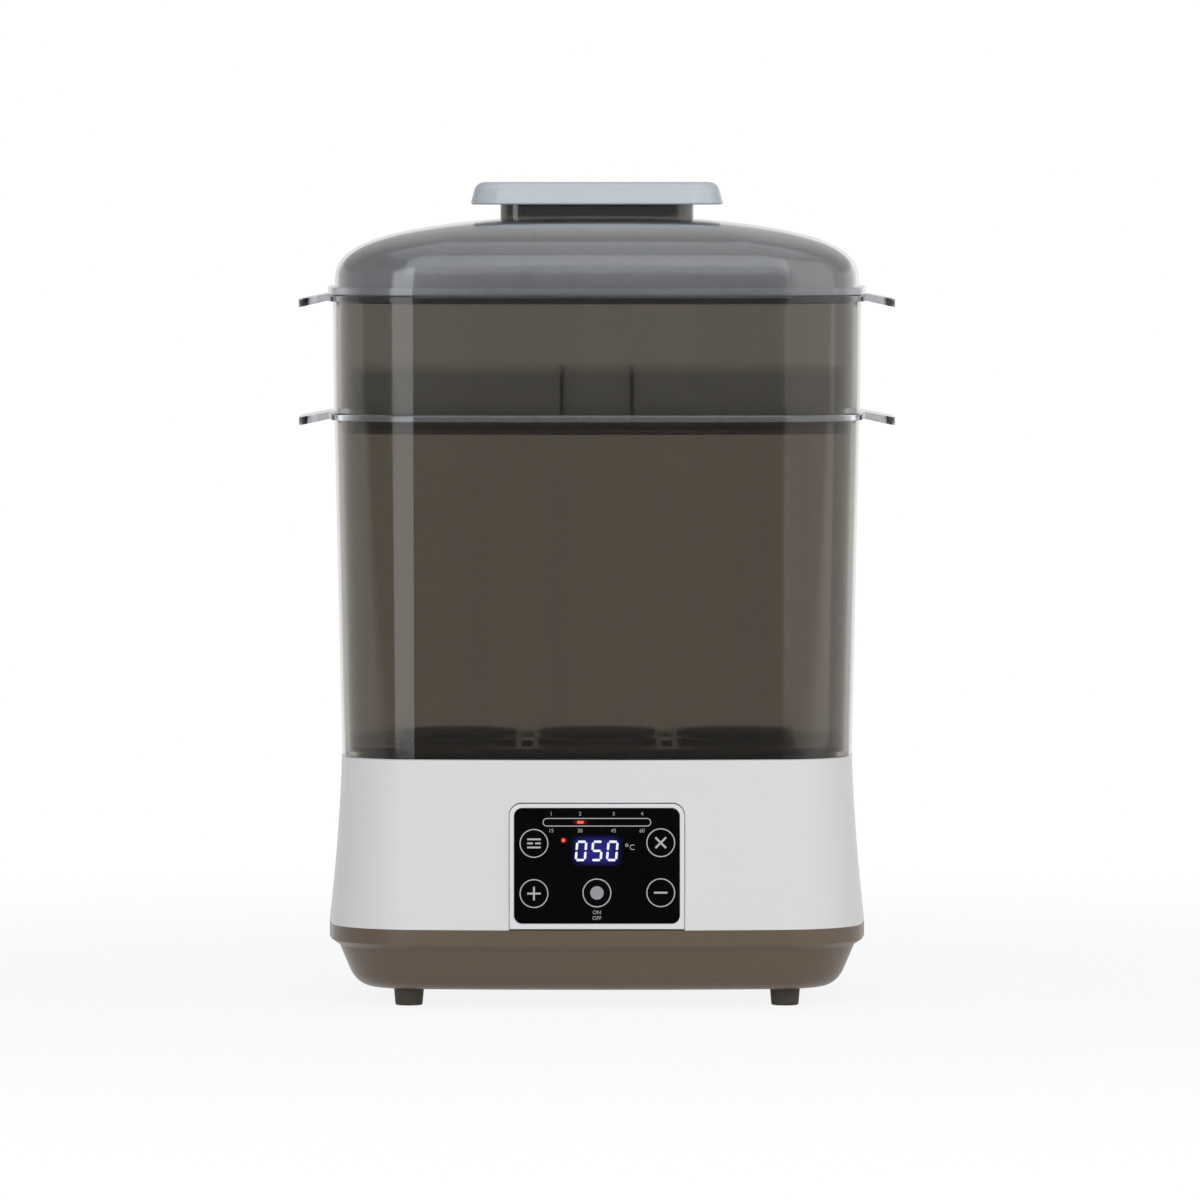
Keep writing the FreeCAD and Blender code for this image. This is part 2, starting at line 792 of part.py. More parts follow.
GLAND_SEAT = f"({BACK} - gland_seat_depth)"
GLAND_INNER = f"({GLAND_SEAT} - gland_boss_length)"
PAST_BACK = f"({BACK} + seat_gap)"


def housing_form():
    form = new_body("housing_form")
    loft(form, "flare", HOUSING_SECTIONS)
    return form


def housing_edge(shell):
    """Narrow bevel round the top, which shows as the line between housing and chamber."""
    loft(shell, "top_bevel", [
        (HOUSING_EDGE, "waist_inset"),
        (BASE_TOP, "waist_inset + housing_edge / 2"),
    ], ruled=True)


def housing_shell():
    shell = new_body("housing_shell")
    loft(shell, "outside", HOUSING_SECTIONS)
    housing_edge(shell)
    walled = [(level, f"{inset} + housing_wall") for level, inset in HOUSING_SECTIONS]
    loft(shell, "inside", walled, kind="Subtractive")
    plan_pocket(shell, "mouth", HOUSING_EDGE, "waist_inset + housing_wall", "housing_edge")
    plan_pad(shell, "ledge", LEDGE_UNDER, "waist_inset + housing_wall / 2", "ledge_thickness")
    plan_pocket(shell, "ledge_inside", LEDGE_UNDER, "waist_inset + housing_wall + ledge_reach",
                "ledge_thickness")
    window = new_sketch(shell, "window_outline", role="XZ_Plane", level="base_depth / 2 + panel_proud")
    bezel_outline(window, "bezel_gap", f"{SEAM} - bezel_gap", SEAM)
    pocket(shell, window, "panel_window", "waist_inset + 2 * housing_wall + bezel_depth")
    return shell


def basin_deck():
    """Floor of the basin: it lies on the housing's ledge, and its posts take the screws from the pan."""
    deck = new_body("basin_deck")
    plan_pad(deck, "plate", DECK_UNDER, "waist_inset + housing_wall + fit_gap", "deck_thickness")
    posts = new_sketch(deck, "post_circles", level=PAN_BOSS_TOP)
    circles(posts, "post_radius", four_places("screw_x", "screw_y"))
    pad(deck, posts, "screw_posts", f"{DECK_UNDER} - {PAN_BOSS_TOP}")
    pilots = new_sketch(deck, "pilot_circles", level=PAN_BOSS_TOP)
    circles(pilots, "screw_radius + fit_gap / 2", four_places("screw_x", "screw_y"))
    pocket(deck, pilots, "screw_pilots", "screw_length", reverse=True)
    collar = new_sketch(deck, "collar_outline", level=DECK_TOP)
    rounded_rectangle(collar, f"{DUCT_INNER_HEIGHT} + 2 * collar_wall",
                      f"{DUCT_INNER_WIDTH} + 2 * collar_wall", "duct_corner_radius", x=OUTLET_X, y=DUCT_Y)
    pad(deck, collar, "outlet_collar", "collar_height")
    outlet = new_sketch(deck, "outlet_outline", level=DECK_UNDER)
    rounded_rectangle(outlet, DUCT_INNER_HEIGHT, DUCT_INNER_WIDTH, "duct_corner_radius / 2",
                      x=OUTLET_X, y=DUCT_Y)
    pocket(deck, outlet, "air_outlet", "deck_thickness + collar_height", reverse=True)
    opening = new_sketch(deck, "plate_circle", level=DECK_UNDER)
    circles(opening, PLATE_HOLE, [("plate_x", "0")])
    pocket(deck, opening, "plate_opening", "deck_thickness", reverse=True)
    return deck


def base_housing(form):
    shell = housing_shell()
    half = "(filter_width / 2)"
    frame_block = box(
        "filter_frame_block",
        (f"-{half} - filter_frame_wall", FRAME_BACK, f"{FILTER_LOW} - filter_frame_wall"),
        (f"{half} + filter_frame_wall", PAST_BACK, f"{FILTER_HIGH} + filter_frame_wall"),
    )
    cord_boss = rod_along_y("cord_boss", "gland_boss_radius", "gland_x", GLAND_Z, GLAND_INNER, PAST_BACK)
    whole = fused("housing_whole", [
        shell,
        shared_by("filter_frame", form, frame_block),
        shared_by("cord_boss_trimmed", form, cord_boss),
    ])
    filter_room = box(
        "filter_room",
        (f"-{half}", f"{FRAME_BACK} + filter_frame_wall", FILTER_LOW),
        (half, PAST_BACK, FILTER_HIGH),
    )
    intake = box(
        "filter_intake",
        (f"-{half} + louvre_margin", f"{FRAME_BACK} - seat_gap", f"{FILTER_LOW} + louvre_margin"),
        (f"{half} - louvre_margin", f"{FRAME_BACK} + 2 * filter_frame_wall",
         f"{FILTER_HIGH} - louvre_margin"),
    )
    gland_room = rod_along_y("gland_room", "gland_flange_radius + fit_gap", "gland_x", GLAND_Z,
                             GLAND_SEAT, PAST_BACK)
    gland_hole = rod_along_y("gland_hole", "gland_body_radius + fit_gap", "gland_x", GLAND_Z,
                             f"{GLAND_INNER} - seat_gap", PAST_BACK)
    return cut_from("base_housing", whole, [filter_room, intake, gland_room, gland_hole])


def filter_cover(form):
    half = "(filter_width / 2 - seat_gap)"
    low = f"({FILTER_LOW} + seat_gap)"
    high = f"({FILTER_HIGH} - seat_gap)"
    block = box("cover_block", (f"-{half}", COVER_FACE, low), (half, PAST_BACK, high))
    slab = shared_by("cover_slab", form, block)
    pitch = "(filter_height - 2 * louvre_margin - louvre_height) / (louvre_count - 1)"
    slots = []
    for index in range(int(number("louvre_count"))):
        foot = f"({FILTER_LOW} + louvre_margin + {index} * {pitch})"
        slots.append(box(
            f"louvre_{index}",
            (f"-{half} + louvre_margin", f"{COVER_FACE} - seat_gap", foot),
            (f"{half} - louvre_margin", PAST_BACK, f"{foot} + louvre_height"),
        ))
    notch = box(
        "pull_notch",
        ("-pull_notch_width / 2", f"{COVER_FACE} + pull_notch_wall", f"{high} - pull_notch_depth"),
        ("pull_notch_width / 2", PAST_BACK, f"{high} + seat_gap"),
    )
    return cut_from("filter_cover", slab, slots + [notch])


def filter_pad():
    half = "(filter_width / 2 - filter_pad_gap)"
    return box(
        "filter_pad",
        (f"-{half}", f"{COVER_FACE} - filter_pad_depth", f"{FILTER_LOW} + filter_pad_gap"),
        (half, COVER_FACE, f"{FILTER_HIGH} - filter_pad_gap"),
    )


def cord_gland():
    body = rod_along_y("gland_body", "gland_body_radius", "gland_x", GLAND_Z,
                       f"{GLAND_INNER} - gland_nut_height", GLAND_SEAT)
    flange = rod_along_y("gland_disc", "gland_flange_radius", "gland_x", GLAND_Z, GLAND_SEAT,
                         f"{GLAND_SEAT} + gland_flange")
    bore = rod_along_y("gland_bore", "gland_bore_radius", "gland_x", GLAND_Z,
                       f"{GLAND_INNER} - gland_nut_height - seat_gap", PAST_BACK)
    return cut_from("cord_gland", fused("gland_solid", [body, flange]), [bore])


def gland_nut():
    nut = new_body("gland_nut")
    hexagon = new_sketch(nut, "hexagon", role="XZ_Plane")
    flat = "gland_nut_width / 2"
    point = "gland_nut_width / sqrt(3)"
    closed_profile(hexagon, [
        (point, "0"), (f"{point} / 2", flat), (f"-{point} / 2", flat),
        (f"-{point}", "0"), (f"-{point} / 2", f"-{flat}"), (f"{point} / 2", f"-{flat}"),
    ])
    circles(hexagon, "gland_body_radius + fit_gap", [("0", "0")])
    pad(nut, hexagon, "nut", "gland_nut_height")
    return place(nut, "gland_x", GLAND_INNER, GLAND_Z)


# Control face: bezel, glass and the electronics behind it

PANEL_MIDDLE = "(panel_bottom + panel_height / 2)"
GLASS_BACK = "(panel_thickness - panel_proud)"


def bezel_outline(sketch, gap, low, foot):
    """Upright plate with two round top corners; its straight foot stands on the pan."""
    half = f"(bezel_width / 2 + {gap})"
    high = f"({foot} + bezel_height + {gap})"
    radius = f"(bezel_corner_radius + {gap})"
    closed_profile(sketch, [
        (f"-{half}", low),
        (half, low),
        (half, f"{high} - {radius}", radius, 1),
        (f"{half} - {radius}", high),
        (f"-{half} + {radius}", high, radius, 1),
        (f"-{half}", f"{high} - {radius}"),
    ])


def board_screw_places():
    x = "(panel_width / 2 - board_margin - board_screw_inset)"
    low = "(panel_bottom + board_margin + board_screw_inset)"
    high = "(panel_bottom + panel_height - board_margin - board_screw_inset)"
    return [(x, low), (f"-{x}", low), (x, high), (f"-{x}", high)]


def control_bezel():
    bezel = new_body("control_bezel")
    outline = new_sketch(bezel, "outline", role="XZ_Plane")
    bezel_outline(outline, "0", "bezel_rest", "0")
    pad(bezel, outline, "plate", "bezel_depth", reverse=True)
    rebate = new_sketch(bezel, "rebate_outline", role="XZ_Plane")
    rounded_rectangle(rebate, "panel_width + 2 * fit_gap", "panel_height + 2 * fit_gap",
                      "panel_corner_radius", y=PANEL_MIDDLE)
    pocket(bezel, rebate, "glass_rebate", GLASS_BACK)
    opening = new_sketch(bezel, "opening_outline", role="XZ_Plane")
    rounded_rectangle(opening, "panel_width - 2 * panel_ledge", "panel_height - 2 * panel_ledge",
                      "panel_corner_radius", y=PANEL_MIDDLE)
    pocket(bezel, opening, "electronics_opening", "bezel_depth")
    pilots = new_sketch(bezel, "pilot_circles", role="XZ_Plane", level="-bezel_depth")
    circles(pilots, "board_screw_radius", board_screw_places())
    pocket(bezel, pilots, "screw_pilots", "board_screw_length - board_thickness", reverse=True)
    return place_on_panel(bezel)


def control_panel():
    panel = new_body("control_panel")
    outline = new_sketch(panel, "outline", role="XZ_Plane", level="panel_proud")
    rounded_rectangle(outline, "panel_width", "panel_height", "panel_corner_radius", y=PANEL_MIDDLE)
    glass = pad(panel, outline, "glass", "panel_thickness", reverse=True)
    front = number("-panel_proud")

    def lies_on_front(edge):
        bounds = edge.BoundBox
        return abs(bounds.YMax - front) < 0.01 and abs(bounds.YMin - front) < 0.01
    round_edges(panel, glass, "front_edge", "panel_edge_radius", lies_on_front)
    return place_on_panel(panel)


def display_board():
    board = new_body("display_board")
    outline = new_sketch(board, "outline", role="XZ_Plane", level="-bezel_depth")
    rounded_rectangle(outline, "panel_width - 2 * board_margin", "panel_height - 2 * board_margin",
                      "board_margin", y=PANEL_MIDDLE)
    circles(outline, "board_screw_radius + fit_gap", board_screw_places())
    pad(board, outline, "laminate", "board_thickness", reverse=True)
    return place_on_panel(board)


def board_screws():
    screws = new_body("board_screws")
    head_face = "(bezel_depth + board_thickness)"
    shanks = new_sketch(screws, "shank_circles", role="XZ_Plane", level=f"-{head_face}")
    circles(shanks, "board_screw_radius - fit_gap / 2", board_screw_places())
    pad(screws, shanks, "shanks", "board_screw_length - fit_gap")
    heads = new_sketch(screws, "head_circles", role="XZ_Plane", level=f"-{head_face}")
    circles(heads, "board_screw_head_radius", board_screw_places())
    pad(screws, heads, "heads", "board_screw_head_height", reverse=True)
    return place_on_panel(screws)


def display_module():
    module = new_body("display_module")
    outline = new_sketch(module, "outline", role="XZ_Plane", level=f"-{GLASS_BACK}")
    rounded_rectangle(outline, "display_width", "display_height", "board_margin", y="display_rise")
    pad(module, outline, "digit_block", f"bezel_depth - {GLASS_BACK}", reverse=True)
    return place_on_panel(module)


def touch_pads():
    pads = new_body("touch_pads")
    keys = new_sketch(pads, "key_circles", role="XZ_Plane", level=f"-{GLASS_BACK}")
    circles(keys, "touch_pad_radius", [
        ("key_side_x", "key_low_rise"),
        ("0", "key_low_rise"),
        ("-key_side_x", "key_low_rise"),
        ("key_side_x", "key_high_rise"),
        ("-key_side_x", "key_high_rise"),
    ])
    pad(pads, keys, "pads", f"bezel_depth - {GLASS_BACK}", reverse=True)
    return place_on_panel(pads)


# Heating plate and its heater

def plate_gasket():
    gasket = new_body("plate_gasket")
    section = new_sketch(gasket, "section", role="XZ_Plane")
    inner = f"({PLATE_HOLE} - gasket_web)"
    outer = f"({PLATE_HOLE} + gasket_reach)"
    low = f"({DECK_UNDER} - gasket_lip)"
    high = f"({DECK_TOP} + gasket_lip)"
    closed_profile(section, [
        (inner, low), (outer, low), (outer, DECK_UNDER), (PLATE_HOLE, DECK_UNDER),
        (PLATE_HOLE, DECK_TOP), (outer, DECK_TOP), (outer, high), (inner, high),
    ])
    revolve(gasket, section, "ring")
    return place(gasket, "plate_x")


def heating_plate():
    plate = new_body("heating_plate")
    section = new_sketch(plate, "section", role="XZ_Plane")
    flange_under = f"({DECK_TOP} + gasket_lip)"
    flange_top = f"({flange_under} + plate_flange_thickness)"
    bowl = f"({PLATE_HOLE} - gasket_web - seat_gap)"
    closed_profile(section, [
        ("0", PLATE_UNDER), (bowl, PLATE_UNDER), (bowl, flange_under), (PLATE_RADIUS, flange_under),
        (PLATE_RADIUS, flange_top), (f"{bowl} - plate_wall", flange_top),
        (f"{bowl} - plate_wall - plate_floor", f"{PLATE_UNDER} + plate_floor"),
        ("0", f"{PLATE_UNDER} + plate_floor"),
    ])
    revolve(plate, section, "dish")
    return place(plate, "plate_x")


def heater_tube():
    tube = new_body("heater_tube")
    section = new_sketch(tube, "section", role="XZ_Plane")
    half_flat = "sqrt(heater_tube_radius * heater_tube_radius - heater_flat * heater_flat)"
    axis_level = f"({PLATE_UNDER} - heater_flat)"
    closed_profile(section, [
        (f"heater_ring_radius + {half_flat}", PLATE_UNDER),
        (f"heater_ring_radius - {half_flat}", PLATE_UNDER, "heater_tube_radius", 1),
        ("heater_ring_radius", f"{axis_level} - heater_tube_radius", "heater_tube_radius", 1),
    ])
    revolve(tube, section, "ring", "heater_sweep")
    pins = new_sketch(tube, "pin_circles", level=axis_level)
    reach = "(heater_sweep / 2 - heater_pin_setback)"
    circles(pins, "heater_pin_radius", [
        (f"heater_ring_radius * cos({reach})", f"heater_ring_radius * sin({reach})"),
        (f"heater_ring_radius * cos({reach})", f"-heater_ring_radius * sin({reach})"),
    ])
    pad(tube, pins, "pins", "heater_pin_length", reverse=True)
    return place(tube, "plate_x")


def thermostat():
    body = new_body("thermostat")
    flange = new_sketch(body, "flange_circle")
    circles(flange, "thermostat_flange_radius", [("0", "0")])
    pad(body, flange, "flange", "thermostat_flange", reverse=True)
    can = new_sketch(body, "can_circle")
    circles(can, "thermostat_radius", [("0", "0")])
    pad(body, can, "can", "thermostat_flange + thermostat_height", reverse=True)
    return place(body, "plate_x + thermostat_x", "0", PLATE_UNDER)


def thermal_fuse():
    body = new_body("thermal_fuse")
    foot = new_sketch(body, "foot_outline")
    rounded_rectangle(foot, "fuse_length / 2", "fuse_foot_width", "fuse_foot_thickness")
    pad(body, foot, "foot", "fuse_foot_thickness", reverse=True)
    tube = new_sketch(body, "tube_circle", role="YZ_Plane", level="-fuse_length / 2")
    circles(tube, "fuse_radius", [("0", "-fuse_foot_thickness - fuse_rise")])
    pad(body, tube, "tube", "fuse_length")
    return place(body, "plate_x", "-fuse_y", PLATE_UNDER)


# Blower: scroll, cover, motor and impeller

def scroll_outline(sketch, inset, mouth):
    """Four quarter arcs that grow round the fan, with a straight throat that leaves along +X."""
    first = f"(scroll_radius - {inset})"
    growth = "scroll_growth"
    throat_low = f"(-scroll_radius - 4 * {growth} + {inset})"
    throat_high = f"(-scroll_radius - 4 * {growth} + scroll_throat - {inset})"
    tongue_x = f"({first} * sin(scroll_tongue_angle))"
    tongue_y = f"(-{first} * cos(scroll_tongue_angle))"
    closed_profile(sketch, [
        ("0", throat_low),
        (mouth, throat_low),
        (mouth, throat_high),
        (f"{tongue_x} + scroll_growth", throat_high),
        (tongue_x, tongue_y, first, 1),
        (first, "0", f"{first} + {growth}", 1),
        (f"-{growth}", f"{first} + {growth}", f"{first} + 2 * {growth}", 1),
        (f"-{first} - 3 * {growth}", f"-{growth}", f"{first} + 3 * {growth}", 1),
    ])


def fan_scroll():
    scroll = new_body("fan_scroll")
    outline = new_sketch(scroll, "outline", level="scroll_lift")
    scroll_outline(outline, "0", "scroll_mouth")
    pad(scroll, outline, "block", "scroll_height")
    hollow = new_sketch(scroll, "hollow_outline", level="scroll_lift + scroll_wall")
    scroll_outline(hollow, "scroll_wall", "scroll_mouth + seat_gap")
    pocket(scroll, hollow, "air_way", "scroll_height", reverse=True)
    inlet = new_sketch(scroll, "inlet_circle", level="scroll_lift")
    circles(inlet, "scroll_inlet_radius", [("0", "0")])
    pocket(scroll, inlet, "inlet", "scroll_wall", reverse=True)
    leg = new_sketch(scroll, "leg_circle", level="scroll_lift + scroll_wall / 2")
    circles(leg, "scroll_leg_radius", [("scroll_leg_ring", "0")])
    first_leg = pad(scroll, leg, "leg", f"scroll_lift + scroll_wall / 2 - {PAN_FLOOR}", reverse=True)
    ring_of(scroll, first_leg, "legs", "3")
    return place(scroll, y=FAN_Y)


def fan_cover():
    cover = new_body("fan_cover")
    outline = new_sketch(cover, "outline", level=SCROLL_TOP)
    scroll_outline(outline, "0", "scroll_mouth")
    circles(outline, "impeller_hub_radius + seat_gap", [("0", "0")])
    pad(cover, outline, "plate", "cover_thickness")
    return place(cover, y=FAN_Y)


def fan_motor():
    motor = new_body("fan_motor")
    section = new_sketch(motor, "section", role="XZ_Plane")
    bore = "(shaft_radius + shaft_gap)"
    top = f"({COVER_TOP} + motor_height)"
    closed_profile(section, [
        (bore, COVER_TOP), ("motor_radius", COVER_TOP), ("motor_radius", top), ("motor_cap_radius", top),
        ("motor_cap_radius", f"{top} + motor_cap_height"), (bore, f"{top} + motor_cap_height"),
    ])
    revolve(motor, section, "can")
    return place(motor, y=FAN_Y)


def motor_shaft():
    shaft = new_body("motor_shaft")
    circle = new_sketch(shaft, "circle", level="scroll_lift + impeller_lift")
    circles(circle, "shaft_radius", [("0", "0")])
    pad(shaft, circle, "rod", f"{COVER_TOP} + motor_height - scroll_lift - impeller_lift")
    return place(shaft, y=FAN_Y)


def fan_impeller():
    wheel = new_body("fan_impeller")
    low = "(scroll_lift + impeller_lift)"
    disc_under = f"({low} + impeller_height - impeller_disc)"
    disc = new_sketch(wheel, "disc_circles", level=disc_under)
    circles(disc, "impeller_radius", [("0", "0")])
    pad(wheel, disc, "disc", "impeller_disc")
    hub = new_sketch(wheel, "hub_circle", level=low)
    circles(hub, "impeller_hub_radius", [("0", "0")])
    pad(wheel, hub, "hub", "impeller_height")
    blade = new_sketch(wheel, "blade_section", level=low)
    inner = "(impeller_radius - blade_chord)"
    closed_profile(blade, [
        (inner, "0", "blade_chord", -1),
        ("impeller_radius - blade_thickness", "blade_lean"),
        ("impeller_radius - blade_thickness", "blade_lean + blade_thickness", "blade_chord", 1),
        (inner, "blade_thickness"),
    ])
    first_blade = pad(wheel, blade, "blade", "impeller_height - impeller_disc / 2")
    ring_of(wheel, first_blade, "blades", "blade_count")
    bore = new_sketch(wheel, "bore_circle", level=low)
    circles(bore, "shaft_radius", [("0", "0")])
    bored = pocket(wheel, bore, "shaft_bore", "impeller_height", reverse=True)
    wheel.Tip = bored
    return place(wheel, y=FAN_Y)


# Air duct, air heater and outlet cap

DUCT_LEVEL = "(scroll_lift + scroll_height / 2)"
DUCT_START = "scroll_mouth"
DUCT_END = f"({DECK_UNDER} - ptc_flange)"


def duct_path(body, name, lead):
    """Centre line: level out of the scroll, a quarter bend, then up to the deck."""
    path = new_sketch(body, name, role="XZ_Plane")
    bend_start = f"({OUTLET_X} - duct_bend_radius)"
    points = [
        (f"{DUCT_START} - {lead}", DUCT_LEVEL),
        (bend_start, DUCT_LEVEL),
        (OUTLET_X, f"{DUCT_LEVEL} + duct_bend_radius"),
        (OUTLET_X, f"{DUCT_END} + {lead}"),
    ]
    corners = [FreeCAD.Vector(number(x), number(z), 0) for x, z in points]
    path.addGeometry(Part.LineSegment(corners[0], corners[1]), False)
    path.addGeometry(arc_between(corners[1], corners[2], number("duct_bend_radius"), 1), False)
    path.addGeometry(Part.LineSegment(corners[2], corners[3]), False)
    path.addConstraint(Sketcher.Constraint("Coincident", 0, END, 1, START))
    path.addConstraint(Sketcher.Constraint("Coincident", 1, END, 2, START))
    for item, (x, z) in enumerate(points[:3]):
        pin_point(path, item, START, x, z)
    pin_point(path, 2, END, *points[3])
    measure(path, "Radius", 1, "duct_bend_radius")
    return path


def duct_run(body, name, kind, width, height, radius, lead):
    section = new_sketch(body, name + "_section", role="YZ_Plane", level=f"{DUCT_START} - {lead}")
    rounded_rectangle(section, width, height, radius, y=DUCT_LEVEL)
    run = body.newObject(f"PartDesign::{kind}Pipe", name)
    run.Profile = section
    run.Spine = duct_path(body, name + "_path", lead)
    return run


def air_duct():
    duct = new_body("air_duct")
    duct_run(duct, "outside", "Additive", DUCT_WIDTH, DUCT_HEIGHT, "duct_corner_radius", "0")
    duct_run(duct, "inside", "Subtractive", DUCT_INNER_WIDTH, DUCT_INNER_HEIGHT,
             "duct_corner_radius / 2", "seat_gap")
    return place(duct, y=DUCT_Y)


def air_heater():
    heater = new_body("air_heater")
    flange = new_sketch(heater, "flange_outline", level=DUCT_END)
    rounded_rectangle(flange, DUCT_HEIGHT, DUCT_WIDTH, "duct_corner_radius")
    pad(heater, flange, "flange", "ptc_flange")
    core = new_sketch(heater, "core_outline", level=DUCT_END)
    rounded_rectangle(core, f"{DUCT_INNER_HEIGHT} - 2 * seat_gap", f"{DUCT_INNER_WIDTH} - 2 * seat_gap",
                      "duct_corner_radius / 2")
    pad(heater, core, "core", "ptc_height", reverse=True)
    fin_room = f"({DUCT_INNER_WIDTH} - 2 * duct_wall)"
    pitch = f"({fin_room} / ptc_fin_count)"
    gap = new_sketch(heater, "gap_outline", level=f"{DUCT_END} - ptc_height")
    rectangle(gap, f"-{DUCT_INNER_HEIGHT} / 2 + duct_wall", f"{DUCT_INNER_HEIGHT} / 2 - duct_wall",
              f"(ptc_fin_thickness - {fin_room}) / 2", f"{pitch} - (ptc_fin_thickness + {fin_room}) / 2")
    first_gap = pocket(heater, gap, "air_gap", "ptc_height + ptc_flange", reverse=True)
    row_of(heater, first_gap, "air_gaps", "Y_Axis", f"{pitch} * (ptc_fin_count - 1)", "ptc_fin_count")
    return place(heater, OUTLET_X, DUCT_Y)


def outlet_cap():
    cap = new_body("outlet_cap")
    collar_x = f"({DUCT_INNER_HEIGHT} + 2 * collar_wall + 2 * fit_gap)"
    collar_y = f"({DUCT_INNER_WIDTH} + 2 * collar_wall + 2 * fit_gap)"
    foot = f"({DECK_TOP} + collar_height + cap_top - cap_height)"
    outline = new_sketch(cap, "outline", level=foot)
    rounded_rectangle(outline, f"{collar_x} + 2 * cap_overhang", f"{collar_y} + 2 * cap_overhang",
                      "duct_corner_radius + cap_overhang")
    block = pad(cap, outline, "block", "cap_height")
    round_edges(cap, block, "top_round", "cap_top / 2", lies_at(f"{foot} + cap_height"))
    room = new_sketch(cap, "room_outline", level=foot)
    rounded_rectangle(room, collar_x, collar_y, "duct_corner_radius")
    pocket(cap, room, "collar_room", "cap_height - cap_top", reverse=True)
    slot = new_sketch(cap, "slot_outline", level=foot)
    pitch = f"({DUCT_INNER_HEIGHT} / (cap_slot_count + 1))"
    start = f"(-{pitch} * (cap_slot_count - 1) / 2)"
    rectangle(slot, f"{start} - cap_slot_width / 2", f"{start} + cap_slot_width / 2",
              f"-{DUCT_INNER_WIDTH} / 2 + duct_wall", f"{DUCT_INNER_WIDTH} / 2 - duct_wall")
    first_slot = pocket(cap, slot, "slot", "cap_height", reverse=True)
    row_of(cap, first_slot, "slots", "X_Axis", f"{pitch} * (cap_slot_count - 1)", "cap_slot_count")
    return place(cap, OUTLET_X, DUCT_Y)


# Power electronics

POWER_LEVEL = f"({PAN_FLOOR} + power_board_lift)"
POWER_TOP = f"({POWER_LEVEL} + board_thickness)"


def power_board_corners():
    x = "(power_board_width / 2 - standoff_inset)"
    y = "(power_board_length / 2 - standoff_inset)"
    return [(f"{POWER_X} + {across} * {x}", f"{along} * {y}") for across, along in ALL_CORNERS]


def power_board():
    board = new_body("power_board")
    outline = new_sketch(board, "outline", level=POWER_LEVEL)
    rounded_rectangle(outline, "power_board_width", "power_board_length", "board_thickness")
    pad(board, outline, "laminate", "board_thickness")
    return place(board, POWER_X)


def board_block(name, width, length, height, y):
    block = new_body(name)
    outline = new_sketch(block, "outline", level=POWER_TOP)
    rounded_rectangle(outline, width, length, "board_thickness")
    solid = pad(block, outline, "block", height)
    round_edges(block, solid, "top_round", "board_thickness / 2", lies_at(f"{POWER_TOP} + {height}"))
    return place(block, POWER_X, y)


# Chamber, tray and their racks

def lugs(body, name, rim_top, wall_inset):
    """A drooping lifting lug on each side, under the rim."""
    side = new_sketch(body, name + "_profile", role="XZ_Plane", level="-lug_width / 2")
    root = f"(base_width / 2 - {wall_inset} - chamber_wall / 2)"
    edge = f"(base_width / 2 - {wall_inset} + rim_overhang)"
    closed_profile(side, [
        (root, f"{rim_top} - rim_height"),
        (edge, f"{rim_top} - rim_height"),
        (LUG_REACH, f"{rim_top} - lug_droop - lug_thickness"),
        (LUG_REACH, f"{rim_top} - lug_droop"),
        (edge, rim_top),
        (root, rim_top),
    ])
    plate = pad(body, side, name, "lug_width")
    return mirror_across(body, plate, name + "_pair", "YZ_Plane")


def outer_lug_corners(edge):
    bounds = edge.BoundBox
    upright = bounds.XMax - bounds.XMin < 0.01 and bounds.YMax - bounds.YMin < 0.01
    return upright and abs(abs(bounds.XMax) - number(LUG_REACH)) < 0.01


def bottle_chamber():
    chamber = new_body("bottle_chamber")
    loft(chamber, "wall", [(BASE_TOP, "waist_inset"), (CHAMBER_TOP, "chamber_rim_inset")])
    rim = plan_pad(chamber, "rim", f"{CHAMBER_TOP} - rim_height", "chamber_rim_inset - rim_overhang",
                   "rim_height")
    round_edges(chamber, rim, "rim_round", "rim_edge_radius", lies_at(CHAMBER_TOP))
    pair = lugs(chamber, "lug", CHAMBER_TOP, "chamber_rim_inset")
    round_edges(chamber, pair, "lug_corners", "lug_corner_radius", outer_lug_corners)
    plan_pad(chamber, "skirt", f"{BASE_TOP} - chamber_skirt_height", SKIRT_INSET, "chamber_skirt_height")
    loft(chamber, "inside", [
        (f"{BASE_TOP} + shoulder_thickness", "waist_inset + chamber_wall"),
        (CHAMBER_TOP, "chamber_rim_inset + chamber_wall"),
    ], kind="Subtractive")
    plan_pocket(chamber, "skirt_inside", f"{BASE_TOP} - chamber_skirt_height", f"{SKIRT_INSET} + skirt_wall",
                "chamber_skirt_height + shoulder_thickness")
    return chamber


def bottle_rack():
    rack = new_body("bottle_rack")
    level = f"({BASE_TOP} + shoulder_thickness)"
    plan_pad(rack, "plate", level, "waist_inset + chamber_wall + basket_gap", "rack_thickness")
    ring = new_sketch(rack, "ring_circles", level=level)
    first_x = "(-rack_ring_pitch_x)"
    first_y = "(-rack_ring_pitch_y / 2)"
    circles(ring, "rack_ring_radius", [(first_x, first_y)])
    circles(ring, "rack_ring_radius - rack_ring_wall", [(first_x, first_y)])
    rib = pad(rack, ring, "bottle_ring", "rack_thickness + rack_ring_height")
    hole = new_sketch(rack, "hole_circle", level=level)
    circles(hole, "rack_hole_radius", [(first_x, first_y)])
    opening = pocket(rack, hole, "steam_hole", "rack_thickness + rack_ring_height", reverse=True)
    grid(rack, [rib, opening], "bottle_rings", "rack_ring_pitch_x", "3", "rack_ring_pitch_y", "2")
    slot = new_sketch(rack, "slot_outline", level=level)
    rounded_rectangle(slot, "rack_slot_width", "rack_slot_length", "rack_slot_width / 2 - fit_gap",
                      x="-rack_ring_pitch_x / 2")
    first_slot = pocket(rack, slot, "steam_slot", "rack_thickness", reverse=True)
    row_of(rack, first_slot, "steam_slots", "X_Axis", "rack_ring_pitch_x", "2")
    return rack


